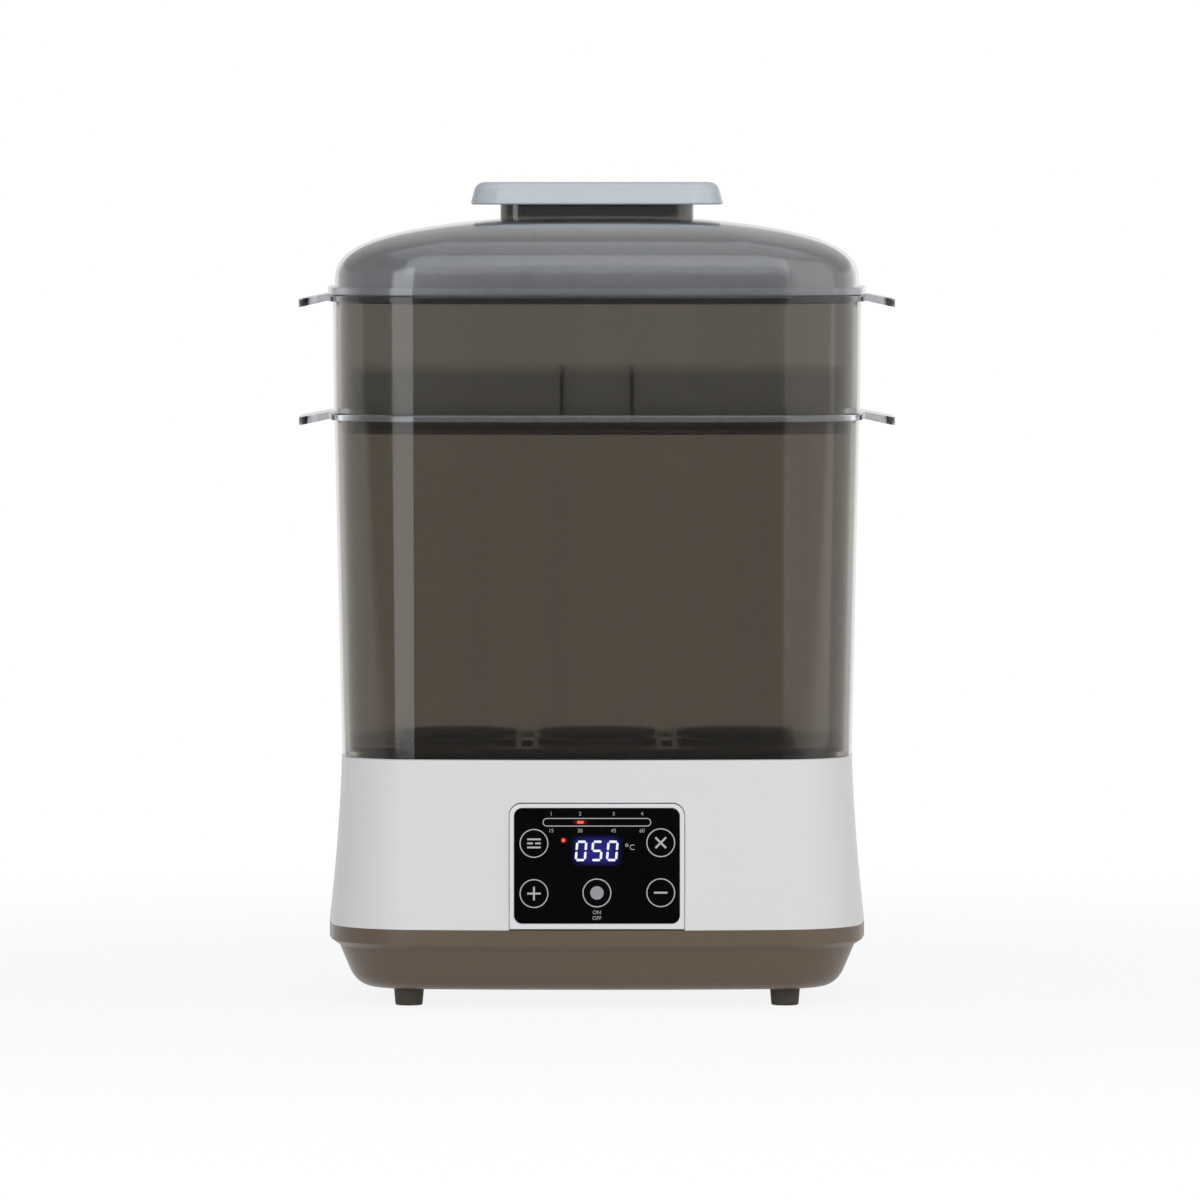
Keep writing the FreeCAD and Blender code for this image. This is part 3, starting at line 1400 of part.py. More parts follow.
def grid(body, features, name, pitch_x, count_x, pitch_y, count_y):
    """Copies of features on a grid along X and Y."""
    across = body.newObject("PartDesign::LinearPattern", name + "_across")
    across.Direction = (origin_feature(body, "X_Axis"), [""])
    bind(across, {"Length": f"{pitch_x} * ({count_x} - 1)", "Occurrences": count_x})
    along = body.newObject("PartDesign::LinearPattern", name + "_along")
    along.Direction = (origin_feature(body, "Y_Axis"), [""])
    bind(along, {"Length": f"{pitch_y} * ({count_y} - 1)", "Occurrences": count_y})
    both = body.newObject("PartDesign::MultiTransform", name)
    both.Originals = features
    both.Transformations = [across, along]
    body.Tip = both
    return both


def upper_tray():
    tray = new_body("upper_tray")
    loft(tray, "wall", [(CHAMBER_TOP, "tray_foot_inset"), (TRAY_TOP, "tray_rim_inset")])
    rim = plan_pad(tray, "rim", f"{TRAY_TOP} - rim_height", LID_RIM_INSET, "rim_height")
    round_edges(tray, rim, "rim_round", "rim_edge_radius", lies_at(TRAY_TOP))
    pair = lugs(tray, "lug", TRAY_TOP, "tray_rim_inset")
    round_edges(tray, pair, "lug_corners", "lug_corner_radius", outer_lug_corners)
    plan_pad(tray, "skirt", f"{CHAMBER_TOP} - tray_skirt_height", TRAY_SKIRT_INSET, "tray_skirt_height")
    loft(tray, "inside", [
        (f"{CHAMBER_TOP} + shoulder_thickness", "tray_foot_inset + tray_wall"),
        (TRAY_TOP, "tray_rim_inset + tray_wall"),
    ], kind="Subtractive")
    plan_pocket(tray, "skirt_inside", TRAY_FLOOR, f"{TRAY_SKIRT_INSET} + skirt_wall",
                f"{CHAMBER_TOP} + shoulder_thickness - {TRAY_FLOOR}")
    slot = new_sketch(tray, "slot_outline", level=f"{CHAMBER_TOP} - tray_skirt_height")
    rounded_rectangle(slot, "tray_slot_width", "tray_slot_length", "tray_slot_width / 2 - fit_gap",
                      x="-tray_slot_pitch * (tray_slot_count - 1) / 2")
    first_slot = pocket(tray, slot, "floor_slot", "tray_floor", reverse=True)
    row_of(tray, first_slot, "floor_slots", "X_Axis", "tray_slot_pitch * (tray_slot_count - 1)",
           "tray_slot_count")
    return tray


def accessory_rack():
    rack = new_body("accessory_rack")
    plan_pad(rack, "block", TRAY_FLOOR, BASKET_INSET, "basket_height")
    plan_pocket(rack, "inside", f"{TRAY_FLOOR} + basket_floor", f"{BASKET_INSET} + basket_wall",
                "basket_height")
    divider = new_sketch(rack, "divider_outline", role="YZ_Plane", level="divider_x - divider_thickness / 2")
    foot = f"({TRAY_FLOOR} + basket_floor / 2)"
    top = f"({TRAY_FLOOR} + divider_height)"
    radius = "divider_corner_radius"
    closed_profile(divider, [
        ("-divider_reach", foot),
        ("divider_reach", foot),
        ("divider_reach", f"{top} - {radius}", radius, 1),
        (f"divider_reach - {radius}", top),
        (f"{radius} - divider_reach", top, radius, 1),
        ("-divider_reach", f"{top} - {radius}"),
    ])
    plate = pad(rack, divider, "divider", "divider_thickness")
    mirror_across(rack, plate, "dividers", "YZ_Plane")
    slot = new_sketch(rack, "slot_outline", level=TRAY_FLOOR)
    rounded_rectangle(slot, "basket_slot_width", "basket_slot_length", "basket_slot_width / 2 - fit_gap",
                      x="basket_slot_start")
    first_slot = pocket(rack, slot, "floor_slot", "basket_floor", reverse=True)
    row = rack.newObject("PartDesign::LinearPattern", "floor_slot_row")
    row.Direction = (origin_feature(rack, "X_Axis"), [""])
    bind(row, {"Length": "basket_slot_pitch * (basket_slot_count - 1)", "Occurrences": "basket_slot_count"})
    other_side = rack.newObject("PartDesign::Mirrored", "floor_slot_mirror")
    other_side.MirrorPlane = (origin_feature(rack, "YZ_Plane"), [""])
    both = rack.newObject("PartDesign::MultiTransform", "floor_slots")
    both.Originals = [first_slot]
    both.Transformations = [row, other_side]
    rack.Tip = both
    return rack


# Lid and grip

NECK_ROOT = f"({DOME_TOP} - neck_root_depth)"
NECK_TOP = f"({GRIP_UNDER} + neck_entry)"
DOME_STEPS = 12


def dome(body, name, kind, shrink):
    """Crown of the lid: outlines that shrink towards the top as a superellipse, drawn in by a wall."""
    rise = f"(dome_height - {shrink})"
    width, depth, corner, front_bow, side_bow = plan_sizes(f"lid_foot_inset + {shrink}")
    outlines = []
    for step in range(DOME_STEPS):
        turn = f"(lid_turn * {step} / {DOME_STEPS - 1})"
        lift = f"(sin({turn}))"
        across = f"(sqrt(1 - {lift} ^ crown_power_x))"
        along = f"(sqrt(1 - {lift} ^ crown_power_y))"
        outlines.append(bowed_outline(
            body, f"{name}_section_{step}", f"{LID_RIM_TOP} + {rise} * {lift}",
            f"({width} * {across})", f"({depth} * {along})", f"({corner} * {along})",
            f"({front_bow} * {across})", f"({side_bow} * {along})",
        ))
    return loft_through(body, name, outlines, kind)


def grip_screw_places():
    return [("grip_screw_x", "0"), ("-grip_screw_x", "0")]


def lid_dome():
    lid = new_body("lid_dome")
    plan_pad(lid, "rim", TRAY_TOP, LID_RIM_INSET, "lid_rim_height")
    plan_pad(lid, "skirt", f"{TRAY_TOP} - lid_skirt_height", LID_SKIRT_INSET, "lid_skirt_height")
    dome(lid, "outside", "Additive", "0")
    neck = new_sketch(lid, "neck_outline", level=NECK_ROOT)
    rounded_rectangle(neck, "neck_width", "neck_depth", "neck_corner_radius")
    pad(lid, neck, "neck", f"{NECK_TOP} - {NECK_ROOT}")
    dome(lid, "inside", "Subtractive", "lid_wall")
    plan_pocket(lid, "mouth", f"{TRAY_TOP} - lid_skirt_height", f"{LID_SKIRT_INSET} + lid_skirt_wall",
                "lid_skirt_height + lid_rim_height")
    socket = new_sketch(lid, "socket_outline", level=DOME_TOP)
    rounded_rectangle(socket, "neck_width - 2 * neck_wall", "neck_depth - 2 * neck_wall",
                      "neck_corner_radius - neck_wall")
    pocket(lid, socket, "boss_socket", f"{NECK_TOP} - {DOME_TOP}", reverse=True)
    holes = new_sketch(lid, "screw_circles", level=NECK_ROOT)
    circles(holes, "grip_screw_radius + fit_gap", grip_screw_places())
    pocket(lid, holes, "screw_holes", f"{NECK_TOP} - {NECK_ROOT}", reverse=True)
    vent = new_sketch(lid, "vent_outlines", level=LID_RIM_TOP)
    for row_y in ("-vent_pitch", "0", "vent_pitch"):
        rounded_rectangle(vent, "vent_length", "vent_width", "vent_width / 2 - fit_gap", x=VENT_X, y=row_y)
    slots = pocket(lid, vent, "vents", "dome_height", reverse=True)
    mirror_across(lid, slots, "vents_both_ends", "YZ_Plane")
    return lid


def handle_grip():
    grip = new_body("handle_grip")
    outline = new_sketch(grip, "outline", level=GRIP_UNDER)
    rounded_rectangle(outline, "grip_width", "grip_depth", "grip_corner_radius")
    slab = pad(grip, outline, "slab", "grip_height")
    bind(slab, {"TaperAngle": "-grip_draft"})
    crest = round_edges(grip, slab, "top_round", "grip_top_radius", lies_at(f"{GRIP_UNDER} + grip_height"))
    round_edges(grip, crest, "under_round", "grip_under_radius", lies_at(GRIP_UNDER))
    seat = new_sketch(grip, "seat_outline", level=GRIP_UNDER)
    rounded_rectangle(seat, "neck_width + 2 * fit_gap", "neck_depth + 2 * fit_gap", "neck_corner_radius")
    pocket(grip, seat, "neck_seat", "neck_entry", reverse=True)
    foot = new_sketch(grip, "boss_outline", level=NECK_TOP)
    rounded_rectangle(foot, "boss_width", "boss_depth", "boss_corner_radius")
    pad(grip, foot, "boss", f"{NECK_TOP} - {DOME_TOP}", reverse=True)
    pilots = new_sketch(grip, "pilot_circles", level=DOME_TOP)
    circles(pilots, "grip_screw_radius + fit_gap / 2", grip_screw_places())
    pocket(grip, pilots, "screw_pilots", "grip_screw_length", reverse=True)
    return grip


def grip_screws():
    """Two screws from inside the lid; their heads lie under the crown, as high as its curve allows."""
    screws = new_body("grip_screws")
    half_width = "(base_width / 2 - lid_foot_inset - lid_wall)"
    outwards = f"((grip_screw_x + grip_screw_head_radius) / {half_width})"
    crown = f"(dome_height - lid_wall) * (1 - {outwards} ^ 2) ^ (1 / crown_power_x)"
    head_top = f"({LID_RIM_TOP} + {crown} - fit_gap)"
    heads = new_sketch(screws, "head_circles", level=f"{head_top} - grip_screw_head_height")
    circles(heads, "grip_screw_head_radius", grip_screw_places())
    pad(screws, heads, "heads", "grip_screw_head_height")
    shanks = new_sketch(screws, "shank_circles", level=head_top)
    circles(shanks, "grip_screw_radius", grip_screw_places())
    pad(screws, shanks, "shanks", "grip_screw_length")
    return screws


# Build, check and write

FORM = housing_form()
PIECES = [
    base_pan(), feet(), housing_screws(),
    base_housing(FORM), basin_deck(), filter_cover(FORM), filter_pad(), cord_gland(), gland_nut(),
    control_bezel(), control_panel(), display_board(), board_screws(), display_module(), touch_pads(),
    plate_gasket(), heating_plate(), heater_tube(), thermostat(), thermal_fuse(),
    fan_scroll(), fan_cover(), fan_motor(), motor_shaft(), fan_impeller(),
    air_duct(), air_heater(), outlet_cap(),
    power_board(),
    board_block("transformer", "transformer_width", "transformer_length", "transformer_height",
                "transformer_y"),
    board_block("relay", "relay_width", "relay_length", "relay_height", "relay_y"),
    bottle_chamber(), bottle_rack(), upper_tray(), accessory_rack(),
    lid_dome(), handle_grip(), grip_screws(),
]
doc.recompute()
for thing in doc.Objects:
    if "Invalid" in thing.State or "Error" in thing.State:
        raise RuntimeError(f"{thing.Name} failed: {thing.State}")
for piece in PIECES:
    if piece.Shape.isNull() or not piece.Shape.isValid():
        raise RuntimeError(f"{piece.Label} has no valid shape")
os.makedirs("parts", exist_ok=True)
for piece in PIECES:
    piece.Shape.exportStep(f"parts/{piece.Label}.step")
    print(piece.Label, len(piece.Shape.Solids), round(piece.Shape.Volume))
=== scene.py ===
# %% [markdown]
# # A countertop steam steriliser
# The object is a stack: a white heated base with a black touch panel on a warm grey pan, a tall smoky
# chamber for bottles, a shallow smoky tray, and a domed smoky lid with a pale grip. The solid pieces come
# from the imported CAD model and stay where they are. This lesson gives them their finishes, prints the
# panel's marks, and sets up the studio and camera.

# %% Load the frame
import math

import bpy
from mathutils import Matrix, Vector


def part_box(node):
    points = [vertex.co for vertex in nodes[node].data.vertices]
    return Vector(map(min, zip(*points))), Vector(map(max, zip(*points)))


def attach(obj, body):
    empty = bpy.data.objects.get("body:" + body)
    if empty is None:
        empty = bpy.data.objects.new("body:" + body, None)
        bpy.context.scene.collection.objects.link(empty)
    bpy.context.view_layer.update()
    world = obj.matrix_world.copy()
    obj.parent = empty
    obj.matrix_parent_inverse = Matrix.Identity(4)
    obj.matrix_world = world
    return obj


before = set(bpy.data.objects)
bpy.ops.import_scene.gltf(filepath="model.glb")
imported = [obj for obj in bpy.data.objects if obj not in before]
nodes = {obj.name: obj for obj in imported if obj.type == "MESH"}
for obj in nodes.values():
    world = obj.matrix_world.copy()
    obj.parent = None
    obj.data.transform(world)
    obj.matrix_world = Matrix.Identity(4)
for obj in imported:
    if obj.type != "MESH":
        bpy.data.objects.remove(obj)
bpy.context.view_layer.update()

MM = 0.001
scene = bpy.context.scene

# %% [markdown]
# ## Camera
# The photo looks straight at the front from just above the grip. The sides hardly converge, so it was taken
# from far away with a long lens. A wide lens close by could frame the object as well, but the near edges
# would loom, so the camera here stands five metres off.

# %% Camera
CAMERA_AT = Vector((0.0014, -5.0, 0.394))
CAMERA_AIM = Vector((0.0014, 0.0, 0.183))
LENS = 325
SENSOR_WIDTH = 36
FAR_CLIP = 60
bpy.ops.object.camera_add(location=CAMERA_AT)
camera = bpy.context.object
camera.rotation_mode = "QUATERNION"
camera.rotation_quaternion = (CAMERA_AIM - CAMERA_AT).to_track_quat("-Z", "Y")
camera.data.lens = LENS
camera.data.sensor_width = SENSOR_WIDTH
camera.data.clip_end = FAR_CLIP
scene.camera = camera
print("camera", [round(v, 3) for v in camera.location])

# %% [markdown]
# ## Studio
# A product shot on white needs a white surround that does not flood the object with light. The surround is
# plain white to the camera and through clear walls, and much softer as a light. A few small functions wire
# up its nodes and, later, those of the finishes.

# %% Node helpers
def combine(tree, operation, first, second):
    """A Math node. Each input is a number or another node's socket."""
    node = tree.nodes.new("ShaderNodeMath")
    node.operation = operation
    for socket, value in zip(node.inputs, (first, second)):
        if isinstance(value, (int, float)):
            socket.default_value = value
        else:
            tree.links.new(value, socket)
    return node.outputs["Value"]


def ramp(tree, source, start, end, low, high):
    """Turns a value between start and end into one between low and high, with soft ends."""
    node = tree.nodes.new("ShaderNodeMapRange")
    node.interpolation_type = "SMOOTHSTEP"
    for label, value in (("From Min", start), ("From Max", end), ("To Min", low), ("To Max", high)):
        node.inputs[label].default_value = value
    tree.links.new(source, node.inputs["Value"])
    return node.outputs["Result"]


def axes_of(tree, vector):
    """The X, Y and Z sockets of a vector."""
    node = tree.nodes.new("ShaderNodeSeparateXYZ")
    tree.links.new(vector, node.inputs["Vector"])
    return node.outputs


def seen_as_background(tree):
    """The ray's kind, and 1 if it comes from the camera, a mirror or a clear wall, else 0."""
    path = tree.nodes.new("ShaderNodeLightPath")
    direct = combine(tree, "MAXIMUM", path.outputs["Is Camera Ray"], path.outputs["Is Transmission Ray"])
    return path, combine(tree, "MAXIMUM", direct, path.outputs["Is Glossy Ray"])


def dimmed_for_mirrors(tree, path, room):
    """Strength 1, or the room's own level where a mirror looks at it."""
    unbent = combine(tree, "SUBTRACT", 1.0, path.outputs["Is Transmission Ray"])
    mirror = combine(tree, "MULTIPLY", path.outputs["Is Glossy Ray"], unbent)
    lost = combine(tree, "MULTIPLY", mirror, combine(tree, "SUBTRACT", 1.0, room))
    return combine(tree, "SUBTRACT", 1.0, lost)


print("node helpers ready")

# %% [markdown]
# What a mirror sees differs from what the camera sees. It is white at the right and overhead, dimmer at the
# left and high behind, and darkest low in front, as in a room where the photographer stands in the shade.
# That draws pale upright bands on the round corners, lights the lid and leaves the flat front dark. Real
# black cards would do the same, but they would show through the clear walls. The edges are given along the
# direction of view, from -1 to 1 on each axis.

# %% World
SOFT_LIGHT = 0.40
SOFT_COLOUR = (0.95, 0.97, 1.0, 1)
FRONT_DIM = 0.15
LEFT_DIM = 0.55
BACK_DIM = 0.55
FRONT_EDGE = (-0.90, -0.78)
CEILING_EDGE = (0.13, 0.24)
LEFT_EDGE = (-0.6, 0.3)
BACK_EDGE = (0.1, 0.5)
world = bpy.data.worlds.new("studio_surround")
scene.world = world
scene.view_settings.view_transform = "Standard"
world.use_nodes = True
sky = world.node_tree
sky.nodes.clear()
path, seen = seen_as_background(sky)
towards = axes_of(sky, sky.nodes.new("ShaderNodeTexCoord").outputs["Generated"])
low_front = ramp(sky, towards["Y"], *FRONT_EDGE, FRONT_DIM, 1.0)
ceiling = ramp(sky, towards["Z"], *CEILING_EDGE, 0.0, 1.0)
front = combine(sky, "MAXIMUM", low_front, ceiling)
side = ramp(sky, towards["X"], *LEFT_EDGE, LEFT_DIM, 1.0)
high_behind = combine(sky, "MULTIPLY", ceiling, ramp(sky, towards["Y"], *BACK_EDGE, 0.0, 1.0))
back = ramp(sky, high_behind, 0.0, 1.0, 1.0, BACK_DIM)
room = combine(sky, "MULTIPLY", combine(sky, "MULTIPLY", front, side), back)
soft = sky.nodes.new("ShaderNodeBackground")
soft.inputs["Color"].default_value = SOFT_COLOUR
soft.inputs["Strength"].default_value = SOFT_LIGHT
white = sky.nodes.new("ShaderNodeBackground")
sky.links.new(dimmed_for_mirrors(sky, path, room), white.inputs["Strength"])
white.inputs["Color"].default_value = (1, 1, 1, 1)
either = sky.nodes.new("ShaderNodeMixShader")
sky.links.new(seen, either.inputs["Fac"])
sky.links.new(soft.outputs["Background"], either.inputs[1])
sky.links.new(white.outputs["Background"], either.inputs[2])
sky_out = sky.nodes.new("ShaderNodeOutputWorld")
sky.links.new(either.outputs["Shader"], sky_out.inputs["Surface"])
print("surround", world.name, "with", len(sky.nodes), "nodes")

# %% [markdown]
# The floor is pale paint that keeps the shadow under the feet. A sharp horizon would cut the picture in
# two, so the paint fades to the white of the surround a metre out. In a mirror it is dim in front, as the
# surround is there.

# %% Floor
FLOOR_SIZE = 40
FLOOR_PAINT = (0.86, 0.86, 0.86, 1)
SHADOW_NEAR = 0.20
SHADOW_FAR = 0.95
NEAR_WHITE = 0.88
FLOOR_DIM_EDGE = (-1.2, -0.4)
bpy.ops.mesh.primitive_plane_add(size=FLOOR_SIZE, location=(0, 0, 0))
floor = bpy.context.object
floor.name = "studio_floor"
floor_finish = bpy.data.materials.new("studio_floor")
floor_finish.use_nodes = True
tree = floor_finish.node_tree
tree.nodes.clear()
paint = tree.nodes.new("ShaderNodeBsdfDiffuse")
paint.inputs["Color"].default_value = FLOOR_PAINT
glow = tree.nodes.new("ShaderNodeEmission")
spot = tree.nodes.new("ShaderNodeTexCoord").outputs["Object"]
reach = tree.nodes.new("ShaderNodeVectorMath")
reach.operation = "LENGTH"
tree.links.new(spot, reach.inputs[0])
fade = ramp(tree, reach.outputs["Value"], SHADOW_NEAR, SHADOW_FAR, NEAR_WHITE, 1.0)
path, seen = seen_as_background(tree)
room = ramp(tree, axes_of(tree, spot)["Y"], *FLOOR_DIM_EDGE, FRONT_DIM, 1.0)
tree.links.new(dimmed_for_mirrors(tree, path, room), glow.inputs["Strength"])
blend = tree.nodes.new("ShaderNodeMixShader")
tree.links.new(combine(tree, "MULTIPLY", seen, fade), blend.inputs["Fac"])
tree.links.new(paint.outputs["BSDF"], blend.inputs[1])
tree.links.new(glow.outputs["Emission"], blend.inputs[2])
surface = tree.nodes.new("ShaderNodeOutputMaterial")
tree.links.new(blend.outputs["Shader"], surface.inputs["Surface"])
floor.data.materials.append(floor_finish)
print("floor", FLOOR_SIZE, "m wide")

# %% [markdown]
# Lamps shape the object. A small softbox left of the camera draws the pale band on the left corner, a large
# one at the right draws the broad band there, and both model the white base. Two cool ones, overhead and
# high in front, lie in the sheen of the lid. The left one ends not far above the lid, because a taller one
# would burn out the lid as seen from behind. All are weak enough that white keeps its shading.

# %% Lamps
COOL = (0.92, 0.96, 1.0)
PALE_COOL = (0.94, 0.97, 1.0)
WARM = (1.0, 0.97, 0.91)


def softbox(name, at, aim, width, height, watts, colour):
    """A rectangular lamp at a place, turned to face its aim; sizes in metres."""
    bpy.ops.object.light_add(type="AREA", location=at)
    lamp = bpy.context.object
    lamp.name = name
    lamp.rotation_mode = "QUATERNION"
    lamp.rotation_quaternion = (Vector(aim) - Vector(at)).to_track_quat("-Z", "Y")
    lamp.data.shape = "RECTANGLE"
    lamp.data.size = width
    lamp.data.size_y = height
    lamp.data.energy = watts
    lamp.data.color = colour
    return lamp


lamps = [
    softbox("left_window", (-0.64, -1.135, 0.30), (0, 0, 0.30), 0.58, 0.6, 2.2, PALE_COOL),
    softbox("right_wall", (1.09, -0.71, 0.70), (0, 0, 0.70), 1.75, 1.4, 5.2, WARM),
    softbox("overhead", (0, -0.3, 1.7), (0, 0, 0.2), 2.2, 1.5, 4.5, COOL),
    softbox("front_top", (0, -1.35, 0.90), (0, 0, 0.36), 1.6, 1.08, 5.9, COOL),
]
print("lamps", [lamp.name for lamp in lamps])

# %% [markdown]
# ## Shared surface effects
# Every moulded piece has a faint grain left by its tool and patches that are a touch duller. Clear pieces
# show soft upright lines where the plastic flowed. Their rims and lugs get bands of painted highlight and
# painted light, and the lid's skirt and neck bands of painted shade. Each effect is built once as a node
# group and placed in the finishes with its own values, so that a change to the effect reaches all of them.

# %% Group helpers
def new_group(name, inputs, outputs):
    """An empty group with number sockets, and its input and output nodes."""
    group = bpy.data.node_groups.new(name, "ShaderNodeTree")
    for label, value in inputs:
        socket = group.interface.new_socket(name=label, in_out="INPUT", socket_type="NodeSocketFloat")
        socket.default_value = value
    for label in outputs:
        group.interface.new_socket(name=label, in_out="OUTPUT", socket_type="NodeSocketFloat")
    return group, group.nodes.new("NodeGroupInput"), group.nodes.new("NodeGroupOutput")


def noise(tree, detail):
    """A noise texture, finer with more detail."""
    texture = tree.nodes.new("ShaderNodeTexNoise")
    texture.inputs["Detail"].default_value = detail
    return texture


print("group helpers ready")

# %% [markdown]
# The grain is fine noise for the bump, and the smudge is broad noise that shifts tone and gloss. Both read
# the piece's own coordinates, so they stay on it when it moves.

# %% Moulded grain group
grain_group, given, made = new_group("moulded_grain", [("Grain", 900.0), ("Patch", 14.0)],
                                     ["Height", "Smudge"])
where = grain_group.nodes.new("ShaderNodeTexCoord")
for label, result, detail in (("Grain", "Height", 3), ("Patch", "Smudge", 4)):
    texture = noise(grain_group, detail)
    grain_group.links.new(where.outputs["Object"], texture.inputs["Vector"])
    grain_group.links.new(given.outputs[label], texture.inputs["Scale"])
    grain_group.links.new(texture.outputs["Fac"], made.inputs[result])
print("group", grain_group.name)

# %% [markdown]
# Flow lines are the same noise with its height squeezed, which draws the spots out into upright streaks.

# %% Flow line group
flow_group, given, made = new_group("flow_lines", [("Lines", 40.0), ("Stretch", 0.04)], ["Streak"])
where = flow_group.nodes.new("ShaderNodeTexCoord")
place = axes_of(flow_group, where.outputs["Object"])
drawn_out = flow_group.nodes.new("ShaderNodeCombineXYZ")
flow_group.links.new(place["X"], drawn_out.inputs["X"])
flow_group.links.new(place["Y"], drawn_out.inputs["Y"])
drawn_z = combine(flow_group, "MULTIPLY", place["Z"], given.outputs["Stretch"])
flow_group.links.new(drawn_z, drawn_out.inputs["Z"])
texture = noise(flow_group, 3)
flow_group.links.new(drawn_out.outputs["Vector"], texture.inputs["Vector"])
flow_group.links.new(given.outputs["Lines"], texture.inputs["Scale"])
flow_group.links.new(texture.outputs["Fac"], made.inputs["Streak"])
print("group", flow_group.name)

# %% [markdown]
# The bands of painted highlight and painted shade are found by place: a band lies between two heights, and
# a lug is anything further out than the walls. Painting each band by hand would not follow a change of
# size, and heights read from the frame do.

# %% Painted band group
painted_band_group, given, made = new_group("painted_light_bands", [("Low", 0.0), ("High", 1.0), ("Reach", 1.0)],
                                    ["Rim", "Lug"])
where = painted_band_group.nodes.new("ShaderNodeTexCoord")
place = axes_of(painted_band_group, where.outputs["Object"])
above = combine(painted_band_group, "GREATER_THAN", place["Z"], given.outputs["Low"])
below = combine(painted_band_group, "LESS_THAN", place["Z"], given.outputs["High"])
outside = combine(painted_band_group, "GREATER_THAN", combine(painted_band_group, "ABSOLUTE", place["X"], 0.0),
                  given.outputs["Reach"])
painted_band_group.links.new(combine(painted_band_group, "MULTIPLY", above, below), made.inputs["Rim"])
painted_band_group.links.new(outside, made.inputs["Lug"])
print("group", painted_band_group.name)

# %% [markdown]
# ## Opaque mouldings
# The base, pan, grip and inner pieces are injection mouldings. A plain colour looks like paint on a
# computer; a little drift in tone, uneven gloss and a fine grain in the bump make it read as plastic.

# %% A moulded finish
BUMP_DEPTH = 0.5 * MM
SMUDGE_SPAN = (0.3, 0.7)
MOULDED_SPREAD = (0.9, 1.12)


def finish_nodes(name):
    """A new material with its node tree and its shader."""
    material = bpy.data.materials.new(name)
    material.use_nodes = True
    return material, material.node_tree, material.node_tree.nodes["Principled BSDF"]


def placed(tree, group, values):
    """Places a shared group in a finish with its own values."""
    node = tree.nodes.new("ShaderNodeGroup")
    node.node_tree = group
    for label, value in values.items():
        node.inputs[label].default_value = value
    return node.outputs


def mixed(tree, factor, first, second):
    """Blends two colours, each a triple or a socket."""
    node = tree.nodes.new("ShaderNodeMix")
    node.data_type = "RGBA"
    tree.links.new(factor, node.inputs["Factor"])
    for socket, colour in zip((node.inputs["A"], node.inputs["B"]), (first, second)):
        if isinstance(colour, tuple):
            socket.default_value = (*colour, 1)
        else:
            tree.links.new(colour, socket)
    return node.outputs["Result"]


def drift(tree, source, colour, change):
    """A colour that drifts a little over the surface."""
    darker = tuple(c * (1 - change) for c in colour)
    lighter = tuple(c * (1 + change) for c in colour)
    return mixed(tree, source, darker, lighter)


def bumped(tree, shader, height, strength):
    """A fine relief in the light, too small to model."""
    bump = tree.nodes.new("ShaderNodeBump")
    bump.inputs["Strength"].default_value = strength
    bump.inputs["Distance"].default_value = BUMP_DEPTH
    tree.links.new(height, bump.inputs["Height"])
    tree.links.new(bump.outputs["Normal"], shader.inputs["Normal"])


def uneven_gloss(tree, shader, smudge, roughness, spread):
    """Roughness that grows with the smudge, between two shares of its plain value."""
    low, high = (roughness * share for share in spread)
    tree.links.new(ramp(tree, smudge, *SMUDGE_SPAN, low, high), shader.inputs["Roughness"])


def moulded(name, colour, roughness, grain=900, bump=0.02, patch=14, change=0.02, metallic=0.0, coat=0.0):
    """An opaque moulding: tone drifts by change, gloss is uneven, and the grain is a faint bump."""
    material, tree, shader = finish_nodes(name)
    effect = placed(tree, grain_group, {"Grain": grain, "Patch": patch})
    tree.links.new(drift(tree, effect["Smudge"], colour, change), shader.inputs["Base Color"])
    uneven_gloss(tree, shader, effect["Smudge"], roughness, MOULDED_SPREAD)
    bumped(tree, shader, effect["Height"], bump)
    shader.inputs["Metallic"].default_value = metallic
    shader.inputs["Coat Weight"].default_value = coat
    return material


def give(material, *names):
    """Puts a finish on solid pieces in place of the plain one they came with."""
    for name in names:
        slots = nodes[name].data.materials
        slots.clear()
        slots.append(material)
    print(material.name, "on", len(names))


print("moulded finish ready, bump", BUMP_DEPTH, "m deep")

# %% [markdown]
# What shows outside: a satin white housing, a glossier bezel round the panel, a warm grey pan, a pale blue
# grey grip with a hard shine, and dull rubber feet. A colour is the share of red, green and blue light that
# the piece throws back.

# %% Outer mouldings
give(moulded("housing_white", (0.77, 0.765, 0.74), 0.42, patch=6, change=0.008),
     "base_housing", "basin_deck", "filter_cover")
give(moulded("bezel_white", (0.82, 0.82, 0.82), 0.22, patch=6, change=0.006, coat=0.2), "control_bezel")
give(moulded("pan_taupe", (0.122, 0.083, 0.052), 0.36, grain=1500, bump=0.06, patch=9, change=0.07),
     "base_pan")
give(moulded("grip_grey", (0.54, 0.58, 0.63), 0.16, patch=8, change=0.02, coat=0.35), "handle_grip")
give(moulded("foot_rubber", (0.062, 0.050, 0.040), 0.7, grain=2500, bump=0.2, change=0.08), "feet")

# %% [markdown]
# The pieces inside the base show only with the filter pulled out or the tiers lifted. They get finishes of
# the same kind: rubber, black plastic, board green, bare metal, the plate's dark coat and a fluffy felt.

